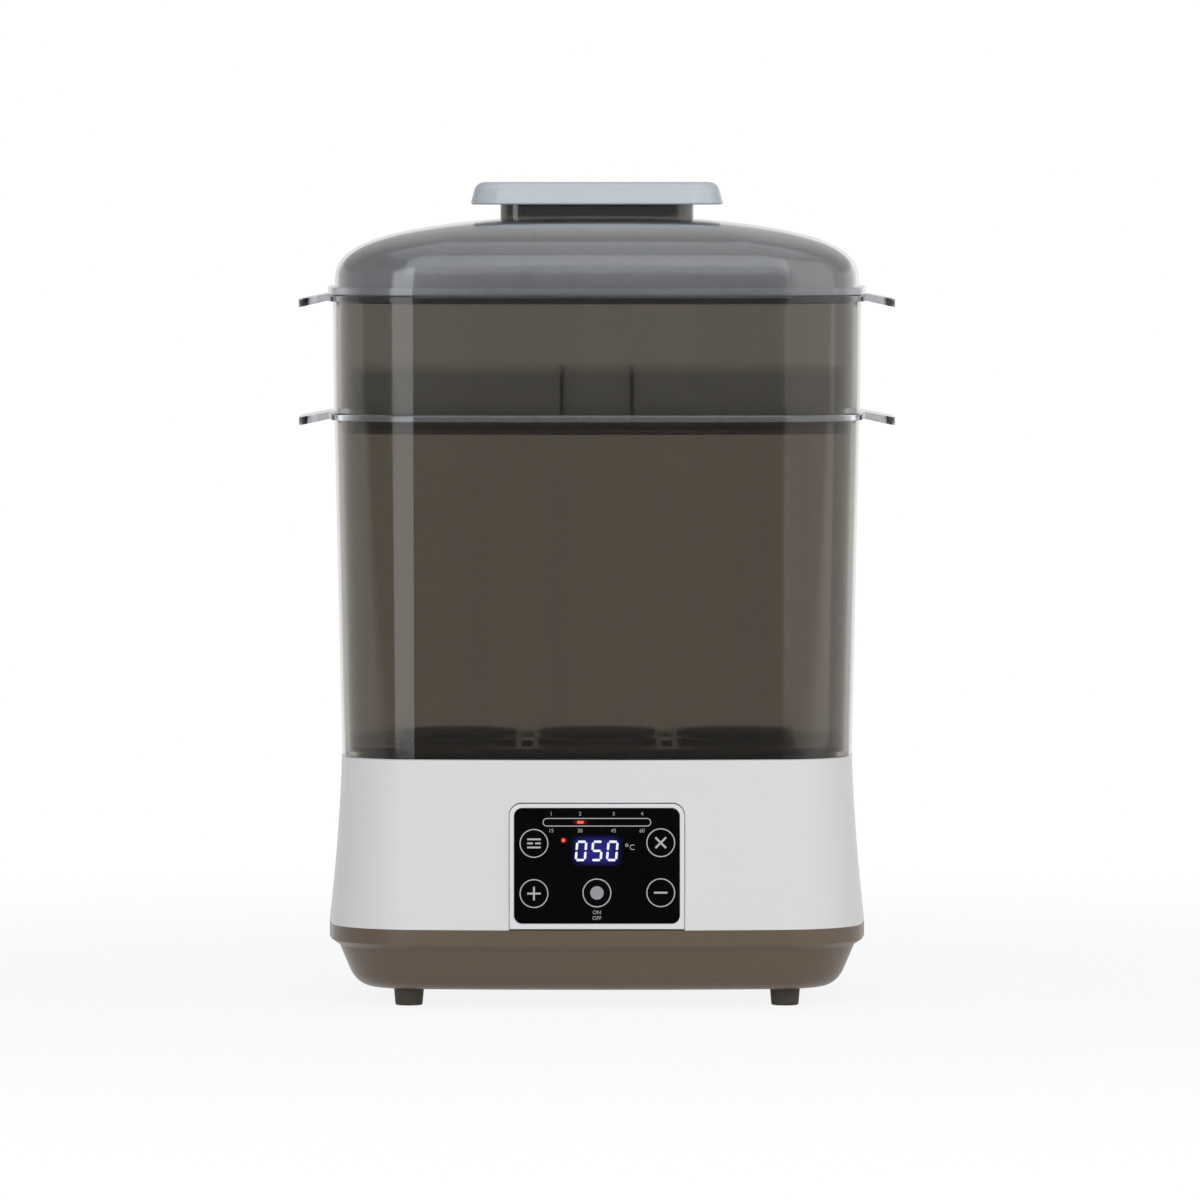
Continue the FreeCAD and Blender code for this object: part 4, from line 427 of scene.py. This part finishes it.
# %% Inner pieces
give(moulded("seal_rubber", (0.12, 0.12, 0.12), 0.6, grain=2000, bump=0.1), "plate_gasket", "touch_pads")
give(moulded("black_plastic", (0.012, 0.012, 0.012), 0.45, grain=1800, bump=0.08),
     "fan_scroll", "fan_cover", "fan_impeller", "air_duct", "outlet_cap", "cord_gland", "gland_nut",
     "display_module", "transformer", "relay")
give(moulded("board_green", (0.01, 0.08, 0.03), 0.4, grain=600, bump=0.03), "display_board", "power_board")
give(moulded("screw_steel", (0.55, 0.55, 0.56), 0.3, grain=3000, bump=0.03, metallic=1.0),
     "housing_screws", "board_screws", "grip_screws", "motor_shaft")
give(moulded("heater_metal", (0.42, 0.42, 0.42), 0.4, grain=2500, bump=0.05, metallic=1.0),
     "heater_tube", "thermostat", "thermal_fuse", "fan_motor", "air_heater")
give(moulded("plate_coat", (0.03, 0.028, 0.027), 0.38, grain=2200, bump=0.1), "heating_plate")
give(moulded("filter_felt", (0.62, 0.62, 0.60), 0.95, grain=1200, bump=0.5, change=0.08), "filter_pad")

# %% [markdown]
# ## Smoky clear plastic
# The tiers and the lid are clear mouldings tinted brown-grey. Light from behind goes through two walls, so
# each wall is lighter than the colour that is seen. A clear shader with a tinted colour does this with real
# walls; painting a dark solid colour would lose the bright edges, the bands and what stands inside. The
# rims of the chamber and the lid get a paler band, a painted highlight where the lamps catch them; the
# tray's rim band is a painted highlight toned down to nearly the tray's tint. The lid's skirt inside the
# tray and the neck under the grip get nearly black bands of painted shade: the skirt lies in the shadow
# under the lid's rim, behind several walls, and the neck lies in the shade of the grip. The lugs are
# painted paler than the plastic, painted light.

# %% A smoky finish
CLEAR_IOR = 1.49
CLEAR_BUMP = 0.004
CLEAR_SPREAD = (0.7, 1.3)
FLOW_DRIFT = 0.10
COAT_ROUGHNESS = 0.12
LUG_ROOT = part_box("base_pan")[1][0] - 0.5 * MM
# painted light: the lugs are painted paler than the plastic, so they look lit
LUG_PAINTED_LIGHT = (0.42, 0.43, 0.45)


def make_clear(shader):
    """Lets light through, bent as in clear plastic."""
    shader.inputs["Transmission Weight"].default_value = 1.0
    shader.inputs["IOR"].default_value = CLEAR_IOR


def smoky(name, tint, roughness, bands, coat=0.0):
    """Clear plastic with bands of painted highlight and painted shade, each from low to high, and lugs
    beyond LUG_ROOT painted paler.
    """
    material, tree, shader = finish_nodes(name)
    flow = placed(tree, flow_group, {"Lines": 55.0, "Stretch": 0.03})
    grain = placed(tree, grain_group, {"Grain": 260.0, "Patch": 7.0})
    colour = drift(tree, flow["Streak"], tint, FLOW_DRIFT)
    # each band paints a highlight or a shade into the plastic's colour
    for low, high, painted_band_colour in bands:
        edge = placed(tree, painted_band_group, {"Low": low, "High": high, "Reach": LUG_ROOT})
        colour = mixed(tree, edge["Rim"], colour, painted_band_colour)
    # every band's group finds the same lugs, so the last one serves
    tree.links.new(mixed(tree, edge["Lug"], colour, LUG_PAINTED_LIGHT), shader.inputs["Base Color"])
    uneven_gloss(tree, shader, grain["Smudge"], roughness, CLEAR_SPREAD)
    bumped(tree, shader, grain["Height"], CLEAR_BUMP)
    shader.inputs["Coat Weight"].default_value = coat
    shader.inputs["Coat Roughness"].default_value = COAT_ROUGHNESS
    make_clear(shader)
    return material


print("lugs begin", round(LUG_ROOT / MM, 1), "mm from the middle")

# %% [markdown]
# The heights of the bands come from the solid pieces: a tier's rim hangs below its top, the lid's rim
# stands on the tray, and the grip's lower end tells where the neck begins.

# %% Tiers and lid
RIM_HEIGHT = 3.3 * MM
# the neck's painted shade reaches this far below the grip
NECK_SHADE_REACH = 1.0 * MM
CHAMBER_TINT = (0.270, 0.242, 0.208)
# painted highlights: the rim bands are paler where the lamps catch the rims
CHAMBER_RIM_HIGHLIGHT = (0.92, 0.95, 0.99)
TRAY_TINT = (0.303, 0.283, 0.256)
TRAY_RIM_HIGHLIGHT = (0.30, 0.30, 0.30)
LID_TINT = (0.34, 0.345, 0.36)
LID_RIM_HIGHLIGHT = (0.45, 0.47, 0.51)
# painted shade: nearly black bands on the lid's skirt under its rim and on the neck under the grip
SKIRT_PAINTED_SHADE = (0.06, 0.055, 0.05)
NECK_PAINTED_SHADE = (0.06, 0.045, 0.03)
TIER_ROUGHNESS = 0.08
LID_ROUGHNESS = 0.18
chamber_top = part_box("bottle_chamber")[1][2]
tray_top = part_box("upper_tray")[1][2]
skirt_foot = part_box("lid_dome")[0][2]
neck_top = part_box("lid_dome")[1][2]
neck_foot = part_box("handle_grip")[0][2] - NECK_SHADE_REACH
chamber_bands = [(chamber_top - RIM_HEIGHT, chamber_top, CHAMBER_RIM_HIGHLIGHT)]
tray_bands = [(tray_top - RIM_HEIGHT, tray_top, TRAY_RIM_HIGHLIGHT)]
# painted shade on the skirt and the neck, a painted highlight on the lid's rim
lid_bands = [
    (skirt_foot, tray_top, SKIRT_PAINTED_SHADE),
    (tray_top, tray_top + RIM_HEIGHT, LID_RIM_HIGHLIGHT),
    (neck_foot, neck_top, NECK_PAINTED_SHADE),
]
give(smoky("chamber_smoke", CHAMBER_TINT, TIER_ROUGHNESS, chamber_bands), "bottle_chamber")
give(smoky("tray_smoke", TRAY_TINT, TIER_ROUGHNESS, tray_bands), "upper_tray")
give(smoky("lid_smoke", LID_TINT, LID_ROUGHNESS, lid_bands, coat=1.0), "lid_dome")

# %% [markdown]
# The basket in the tray is clearer than the tray, or it would read as a black band. Its two dividers are
# seen edge on, and light runs along them instead of through, so they look like thin dark lines. A narrow
# slab painted darker at each divider gives that line: painted shade.

# %% Racks
DIVIDER_INSIDE = 15.1 * MM
DIVIDER_OUTSIDE = 16.8 * MM
DIVIDER_PAINTED_SHADE = (0.10, 0.095, 0.09)
RACK_DRIFT = 0.05
RACK_SPREAD = (0.8, 1.2)


def divider_mask(tree):
    """1 in the two upright slabs where the dividers stand, which get painted shade."""
    place = axes_of(tree, tree.nodes.new("ShaderNodeTexCoord").outputs["Object"])
    aside = combine(tree, "ABSOLUTE", place["X"], 0.0)
    beyond = combine(tree, "GREATER_THAN", aside, DIVIDER_INSIDE)
    within = combine(tree, "LESS_THAN", aside, DIVIDER_OUTSIDE)
    return combine(tree, "MULTIPLY", beyond, within)


def rack_finish(name, tint, roughness, divided=False):
    """Clear plastic without flow lines, with slabs of painted shade at the dividers if it is divided."""
    material, tree, shader = finish_nodes(name)
    grain = placed(tree, grain_group, {"Grain": 700.0, "Patch": 12.0})
    colour = drift(tree, grain["Smudge"], tint, RACK_DRIFT)
    if divided:
        # painted shade: dark slabs where the dividers stand edge on
        colour = mixed(tree, divider_mask(tree), colour, DIVIDER_PAINTED_SHADE)
    tree.links.new(colour, shader.inputs["Base Color"])
    uneven_gloss(tree, shader, grain["Smudge"], roughness, RACK_SPREAD)
    make_clear(shader)
    return material


give(rack_finish("rack_smoke", (0.20, 0.19, 0.18), 0.25), "bottle_rack")
give(rack_finish("basket_clear", (0.70, 0.72, 0.71), 0.12, divided=True), "accessory_rack")

# %% [markdown]
# ## Black glass panel
# The control face is one sheet of black-backed glass with keys printed on it. It is hardly seen itself:
# it shows by a faint mirror image and by wiping marks, so its gloss varies and its colour barely does.

# %% Black glass
GLASS_BLACK = (0.0022, 0.0022, 0.0026)
GLASS_SHINE = 0.10
GLASS_ROUGHNESS = 0.1
WIPED_DRIFT = 0.3
WIPED_SPREAD = (0.5, 1.2)
glass, tree, shader = finish_nodes("panel_black")
wiped = placed(tree, grain_group, {"Grain": 1400.0, "Patch": 60.0})
tree.links.new(drift(tree, wiped["Smudge"], GLASS_BLACK, WIPED_DRIFT), shader.inputs["Base Color"])
uneven_gloss(tree, shader, wiped["Smudge"], GLASS_ROUGHNESS, WIPED_SPREAD)
shader.inputs["Specular IOR Level"].default_value = GLASS_SHINE
give(glass, "control_panel")

# %% [markdown]
# ## Marks on the panel
# Rings, icons, a scale and a lit number are printed or shine through the glass. They could be painted by
# a texture, but thin real shapes stay sharp at any distance and keep their place in the model.
# Each is drawn flat, in millimetres from the middle of the glass's lower edge, then given its ink's
# thickness and laid on the sloping glass.

# %% Where the marks lie
PANEL_TILT = math.radians(4.4)
GLASS_BOTTOM = 3.2 * MM
GLASS_PROUD = 0.3 * MM
INK_DEPTH = 0.06 * MM
panel_foot = Vector((0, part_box("base_pan")[0][1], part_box("base_housing")[0][2]))
on_glass = (Matrix.Translation(panel_foot)
            @ Matrix.Rotation(math.pi / 2 - PANEL_TILT, 4, "X")
            @ Matrix.Translation((0, GLASS_BOTTOM, GLASS_PROUD)))
print("panel foot", [round(v, 4) for v in panel_foot])

# %% [markdown]
# Each mark starts as a flat primitive or as text and is shaped in edit mode: corners are bevelled, doubled
# points are welded, and a ring is a disc that is inset and loses its middle. A Solidify modifier then gives
# the ink its thickness.

# %% Drawing helpers
CURVE_STEPS = 8
DISC_SIDES = 72
FONT_STEPS = 4
CAPITAL_SHARE = 0.7
WELD = 0.001 * MM


def settle():
    """Puts the new shape's place, turn and size into its mesh."""
    bpy.ops.object.transform_apply(location=True, rotation=True, scale=True)
    return bpy.context.object


def hollow(line):
    """Leaves only an outline of the active flat shape: insets its face, then deletes the middle."""
    bpy.ops.object.mode_set(mode="EDIT")
    bpy.ops.mesh.select_all(action="SELECT")
    bpy.ops.mesh.inset(thickness=line * MM)
    bpy.ops.mesh.delete(type="FACE")
    bpy.ops.object.mode_set(mode="OBJECT")


def bar(u, v, width, height, turn=0.0, corner=0.3):
    """A stroke with round corners; corner is a share of its shorter side."""
    bpy.ops.object.select_all(action="DESELECT")
    bpy.ops.mesh.primitive_plane_add(size=MM, location=(u * MM, v * MM, 0), rotation=(0, 0, turn))
    bpy.context.object.scale = (width, height, 1)
    piece = settle()
    bpy.ops.object.mode_set(mode="EDIT")
    bpy.ops.mesh.select_all(action="SELECT")
    bpy.ops.mesh.bevel(offset=corner * min(width, height) * MM, segments=CURVE_STEPS,
                       affect="VERTICES")
    bpy.ops.object.mode_set(mode="OBJECT")
    return piece


def disc(u, v, width, height):
    """A flat round or oval."""
    bpy.ops.object.select_all(action="DESELECT")
    middle = (u * MM, v * MM, 0)
    bpy.ops.mesh.primitive_circle_add(vertices=DISC_SIDES, radius=MM / 2, fill_type="NGON", location=middle)
    bpy.context.object.scale = (width, height, 1)
    return settle()


def ring(u, v, diameter, line):
    """A round outline as wide as line."""
    piece = disc(u, v, diameter, diameter)
    hollow(line)
    return piece


def number(text, u, v, height):
    """Plain figures or letters of the built-in font, sized by the height of its capitals."""
    bpy.ops.object.select_all(action="DESELECT")
    bpy.ops.object.text_add(location=(u * MM, v * MM, 0))
    letters = bpy.context.object.data
    letters.body = text
    letters.size = height / CAPITAL_SHARE * MM
    letters.align_x = "CENTER"
    letters.align_y = "CENTER"
    letters.resolution_u = FONT_STEPS
    bpy.ops.object.convert(target="MESH")
    piece = settle()
    bpy.ops.object.mode_set(mode="EDIT")
    bpy.ops.mesh.select_all(action="SELECT")
    bpy.ops.mesh.remove_doubles(threshold=WELD)
    bpy.ops.object.mode_set(mode="OBJECT")
    return piece


def lay_on_glass(name, pieces, finish, depth=INK_DEPTH):
    """Joins flat shapes, gives them thickness and lays them on the glass."""
    bpy.ops.object.select_all(action="DESELECT")
    for piece in pieces:
        piece.select_set(True)
    bpy.context.view_layer.objects.active = pieces[0]
    if len(pieces) > 1:
        bpy.ops.object.join()
    mark = bpy.context.object
    mark.name = name
    bpy.ops.object.modifier_add(type="SOLIDIFY")
    ink = mark.modifiers[-1]
    ink.thickness = depth
    ink.offset = 1
    bpy.ops.object.modifier_apply(modifier=ink.name)
    mark.matrix_world = on_glass
    settle()
    mark.data.materials.clear()
    mark.data.materials.append(finish)
    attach(mark, "base")
    print(name, len(mark.data.polygons), "faces")


print("drawing helpers ready")

# %% [markdown]
# Printed ink is lit faintly from behind and the display more, so all the marks share one kind of finish
# with their own colour and strength. A lamp behind each mark would be slower and no clearer.

# %% Inks and lights
INK_DRIFT = 0.10
GLOW_DRIFT = 0.12
INK_ROUGHNESS = 0.5


def lit(name, colour, strength, base):
    """Ink that shines a little, unevenly, as when a lamp behind the glass lights it."""
    material, tree, shader = finish_nodes(name)
    effect = placed(tree, grain_group, {"Grain": 2500.0, "Patch": 900.0})
    tree.links.new(drift(tree, effect["Smudge"], base, INK_DRIFT), shader.inputs["Base Color"])
    tree.links.new(drift(tree, effect["Smudge"], colour, GLOW_DRIFT), shader.inputs["Emission Color"])
    shader.inputs["Emission Strength"].default_value = strength
    shader.inputs["Roughness"].default_value = INK_ROUGHNESS
    return material


key_ink = lit("key_ink", (0.75, 0.76, 0.78), 0.14, (0.34, 0.34, 0.35))
label_ink = lit("label_ink", (0.70, 0.70, 0.72), 0.10, (0.30, 0.30, 0.31))
dot_ink = lit("dot_ink", (0.50, 0.52, 0.56), 0.14, (0.22, 0.22, 0.24))
digit_light = lit("digit_light", (0.74, 0.78, 1.0), 0.85, (0.3, 0.3, 0.35))
red_light = lit("red_light", (1.0, 0.10, 0.05), 0.9, (0.4, 0.02, 0.01))
print("inks", [ink.name for ink in (key_ink, label_ink, dot_ink, digit_light, red_light)])

# %% [markdown]
# The keys are rings with a plain sign in each: a list, a cross, plus, minus and a dot. Signs are strokes
# that meet end to end and never overlap, so that each stays a clean closed shape.

# %% Keys
KEY_RING = 13.1
KEY_LINE = 0.48
POWER_DOT = 6.1
LIST_KEY = (-28.6, 36.4)
CROSS_KEY = (29.0, 36.7)
PLUS_KEY = (-28.6, 13.6)
MINUS_KEY = (29.0, 14.0)
POWER_KEY = (0.0, 13.9)
SIGN_WIDTH = 6.2
SIGN_LINE = 0.85
ROW_STEP = 1.85
ROW_LINE = 0.8
DASH_WIDTH = 2.6
CROSS_ARM = 3.0
CROSS_LINE = 0.9
upright = (SIGN_WIDTH - SIGN_LINE) / 2
upright_rise = (SIGN_WIDTH + SIGN_LINE) / 4
dash_shift = (SIGN_WIDTH - DASH_WIDTH) / 2
arm_shift = (CROSS_ARM + CROSS_LINE) / 2 * math.sqrt(0.5)
keys = [ring(*key, KEY_RING, KEY_LINE) for key in (LIST_KEY, CROSS_KEY, PLUS_KEY, MINUS_KEY, POWER_KEY)]
signs = [
    bar(*PLUS_KEY, SIGN_WIDTH, SIGN_LINE),
    bar(*MINUS_KEY, SIGN_WIDTH, SIGN_LINE),
    bar(*CROSS_KEY, 2 * CROSS_ARM + CROSS_LINE, CROSS_LINE, math.pi / 4),
]
for way in (1, -1):
    signs.append(bar(PLUS_KEY[0], PLUS_KEY[1] + way * upright_rise, SIGN_LINE, upright))
    signs.append(bar(LIST_KEY[0], LIST_KEY[1] + way * ROW_STEP, SIGN_WIDTH, ROW_LINE))
    signs.append(bar(LIST_KEY[0] + way * dash_shift, LIST_KEY[1], DASH_WIDTH, ROW_LINE))
    shift = way * arm_shift
    signs.append(bar(CROSS_KEY[0] - shift, CROSS_KEY[1] + shift, CROSS_ARM, CROSS_LINE, -math.pi / 4))
lay_on_glass("panel_key_marks", keys + signs, key_ink)
lay_on_glass("panel_power_dot", [disc(*POWER_KEY, POWER_DOT, POWER_DOT)], dot_ink)

# %% [markdown]
# Above the keys is a scale in a capsule, with plain figures for the steps and their minutes round it. ON
# and OFF stand under the middle key, and a degree ring with a C beside the lit number.

# %% Scale and figures
SCALE_AT = (0.0, 46.0)
SCALE_SIZE = (49.4, 3.9)
SCALE_LINE = 0.45
STEP_PLACES = (-20.8, -7.7, 7.6, 20.5)
FIGURES_HIGH = 49.8
FIGURES_LOW = 42.1
FIGURE_HEIGHT = 1.7
STEP_MINUTES = 15
ON_AT = (0.0, 5.0)
OFF_AT = (0.0, 2.4)
DEGREE_AT = (13.6, 35.6)
DEGREE_WIDTH = 1.5
DEGREE_LINE = 0.35
UNIT_AT = (16.0, 34.5)
UNIT_HEIGHT = 2.5
NEARLY_ROUND = 0.499
capsule = bar(*SCALE_AT, *SCALE_SIZE, corner=NEARLY_ROUND)
hollow(SCALE_LINE)
figures = [capsule]
for step, u in enumerate(STEP_PLACES, start=1):
    figures.append(number(str(step), u, FIGURES_HIGH, FIGURE_HEIGHT))
    figures.append(number(str(STEP_MINUTES * step), u, FIGURES_LOW, FIGURE_HEIGHT))
figures.append(number("ON", *ON_AT, FIGURE_HEIGHT))
figures.append(number("OFF", *OFF_AT, FIGURE_HEIGHT))
figures.append(ring(*DEGREE_AT, DEGREE_WIDTH, DEGREE_LINE))
figures.append(number("C", *UNIT_AT, UNIT_HEIGHT))
lay_on_glass("panel_figures", figures, label_ink)

# %% [markdown]
# The display shows a number in seven-bar figures that lean a little. Each figure is a set of bars, so one
# list of lit bars per figure is enough.

# %% Lit number
DIGIT_WIDTH = 4.1
DIGIT_HEIGHT = 8.3
STROKE = 1.05
STROKE_CORNER = 0.45
UPRIGHT_GAP = 0.75
LEVEL_GAP = 0.55
LEAN = math.radians(5)
LIT_BARS = {"0": "abcdef", "5": "acdfg"}
BAR_PLACES = {
    "a": (0, 1), "b": (1, 0.5), "c": (1, -0.5), "d": (0, -1),
    "e": (-1, -0.5), "f": (-1, 0.5), "g": (0, 0),
}
DIGIT_PLACES = (-7.2, 0.0, 7.0)
DIGIT_RISE = 33.0
upright_size = (STROKE, DIGIT_HEIGHT / 2 - STROKE * UPRIGHT_GAP)
level_size = (DIGIT_WIDTH - STROKE * LEVEL_GAP, STROKE)
digits = []
for figure, middle in zip("050", DIGIT_PLACES):
    for name in LIT_BARS[figure]:
        across, up = BAR_PLACES[name]
        level = up * DIGIT_HEIGHT / 2
        u = middle + across * DIGIT_WIDTH / 2 + level * math.tan(LEAN)
        size = upright_size if across else level_size
        turn = -LEAN if across else 0.0
        digits.append(bar(u, DIGIT_RISE + level, *size, turn, corner=STROKE_CORNER))
lay_on_glass("panel_digits", digits, digit_light, depth=2 * INK_DEPTH)

# %% [markdown]
# Two small red lamps: a short bar in the scale marks a step, and a dot stands beside the number.

# %% Red lamps
STEP_LAMP_AT = (-7.5, 46.0)
STEP_LAMP_SIZE = (3.0, 1.2)
STEP_LAMP_CORNER = 0.4
DOT_LAMP_AT = (-15.2, 37.8)
DOT_LAMP_WIDTH = 1.7
red_lamps = [
    bar(*STEP_LAMP_AT, *STEP_LAMP_SIZE, corner=STEP_LAMP_CORNER),
    disc(*DOT_LAMP_AT, DOT_LAMP_WIDTH, DOT_LAMP_WIDTH),
]
lay_on_glass("panel_red_lamps", red_lamps, red_light, depth=2 * INK_DEPTH)

# %% [markdown]
# Light leaks a little round the lit marks. A thin dark film behind them glows most at its middle and fades
# to nothing at its edge. A blur over the whole picture would do it too, but would be lost in the model.

# %% Halos
DISPLAY_MIDDLE = (-0.1, 33.1)
FILM_CORE = (0.004, 0.004, 0.006)


def halo(name, colour, strength, at, half_size, core):
    """Film whose light fades from its core, a share of its size, to its edge."""
    half_width, half_height = half_size
    middle = on_glass @ Vector((at[0] * MM, at[1] * MM, 0))
    material, tree, shader = finish_nodes(name)
    place = axes_of(tree, tree.nodes.new("ShaderNodeTexCoord").outputs["Object"])
    fades = []
    for axis, centre, half in (("X", middle.x, half_width), ("Z", middle.z, half_height)):
        away = combine(tree, "ABSOLUTE", combine(tree, "SUBTRACT", place[axis], centre), 0.0)
        fades.append(ramp(tree, away, half * core * MM, half * MM, 1.0, 0.0))
    mask = combine(tree, "MULTIPLY", *fades)
    tree.links.new(mixed(tree, mask, (0.0, 0.0, 0.0), colour), shader.inputs["Emission Color"])
    tree.links.new(mixed(tree, mask, GLASS_BLACK, FILM_CORE), shader.inputs["Base Color"])
    shader.inputs["Emission Strength"].default_value = strength
    shader.inputs["Roughness"].default_value = GLASS_ROUGHNESS
    shader.inputs["Specular IOR Level"].default_value = GLASS_SHINE
    film = bar(*at, 2 * half_width, 2 * half_height)
    lay_on_glass(name, [film], material, depth=INK_DEPTH / 2)


halo("display_halo", (0.035, 0.03, 0.32), 0.55, DISPLAY_MIDDLE, (12.4, 7.6), core=0.45)
halo("scale_halo", (0.75, 0.03, 0.01), 0.35, STEP_LAMP_AT, (3.8, 1.35), core=0.1)
halo("lamp_halo", (0.6, 0.02, 0.01), 0.3, DOT_LAMP_AT, (1.7, 1.7), core=0.2)
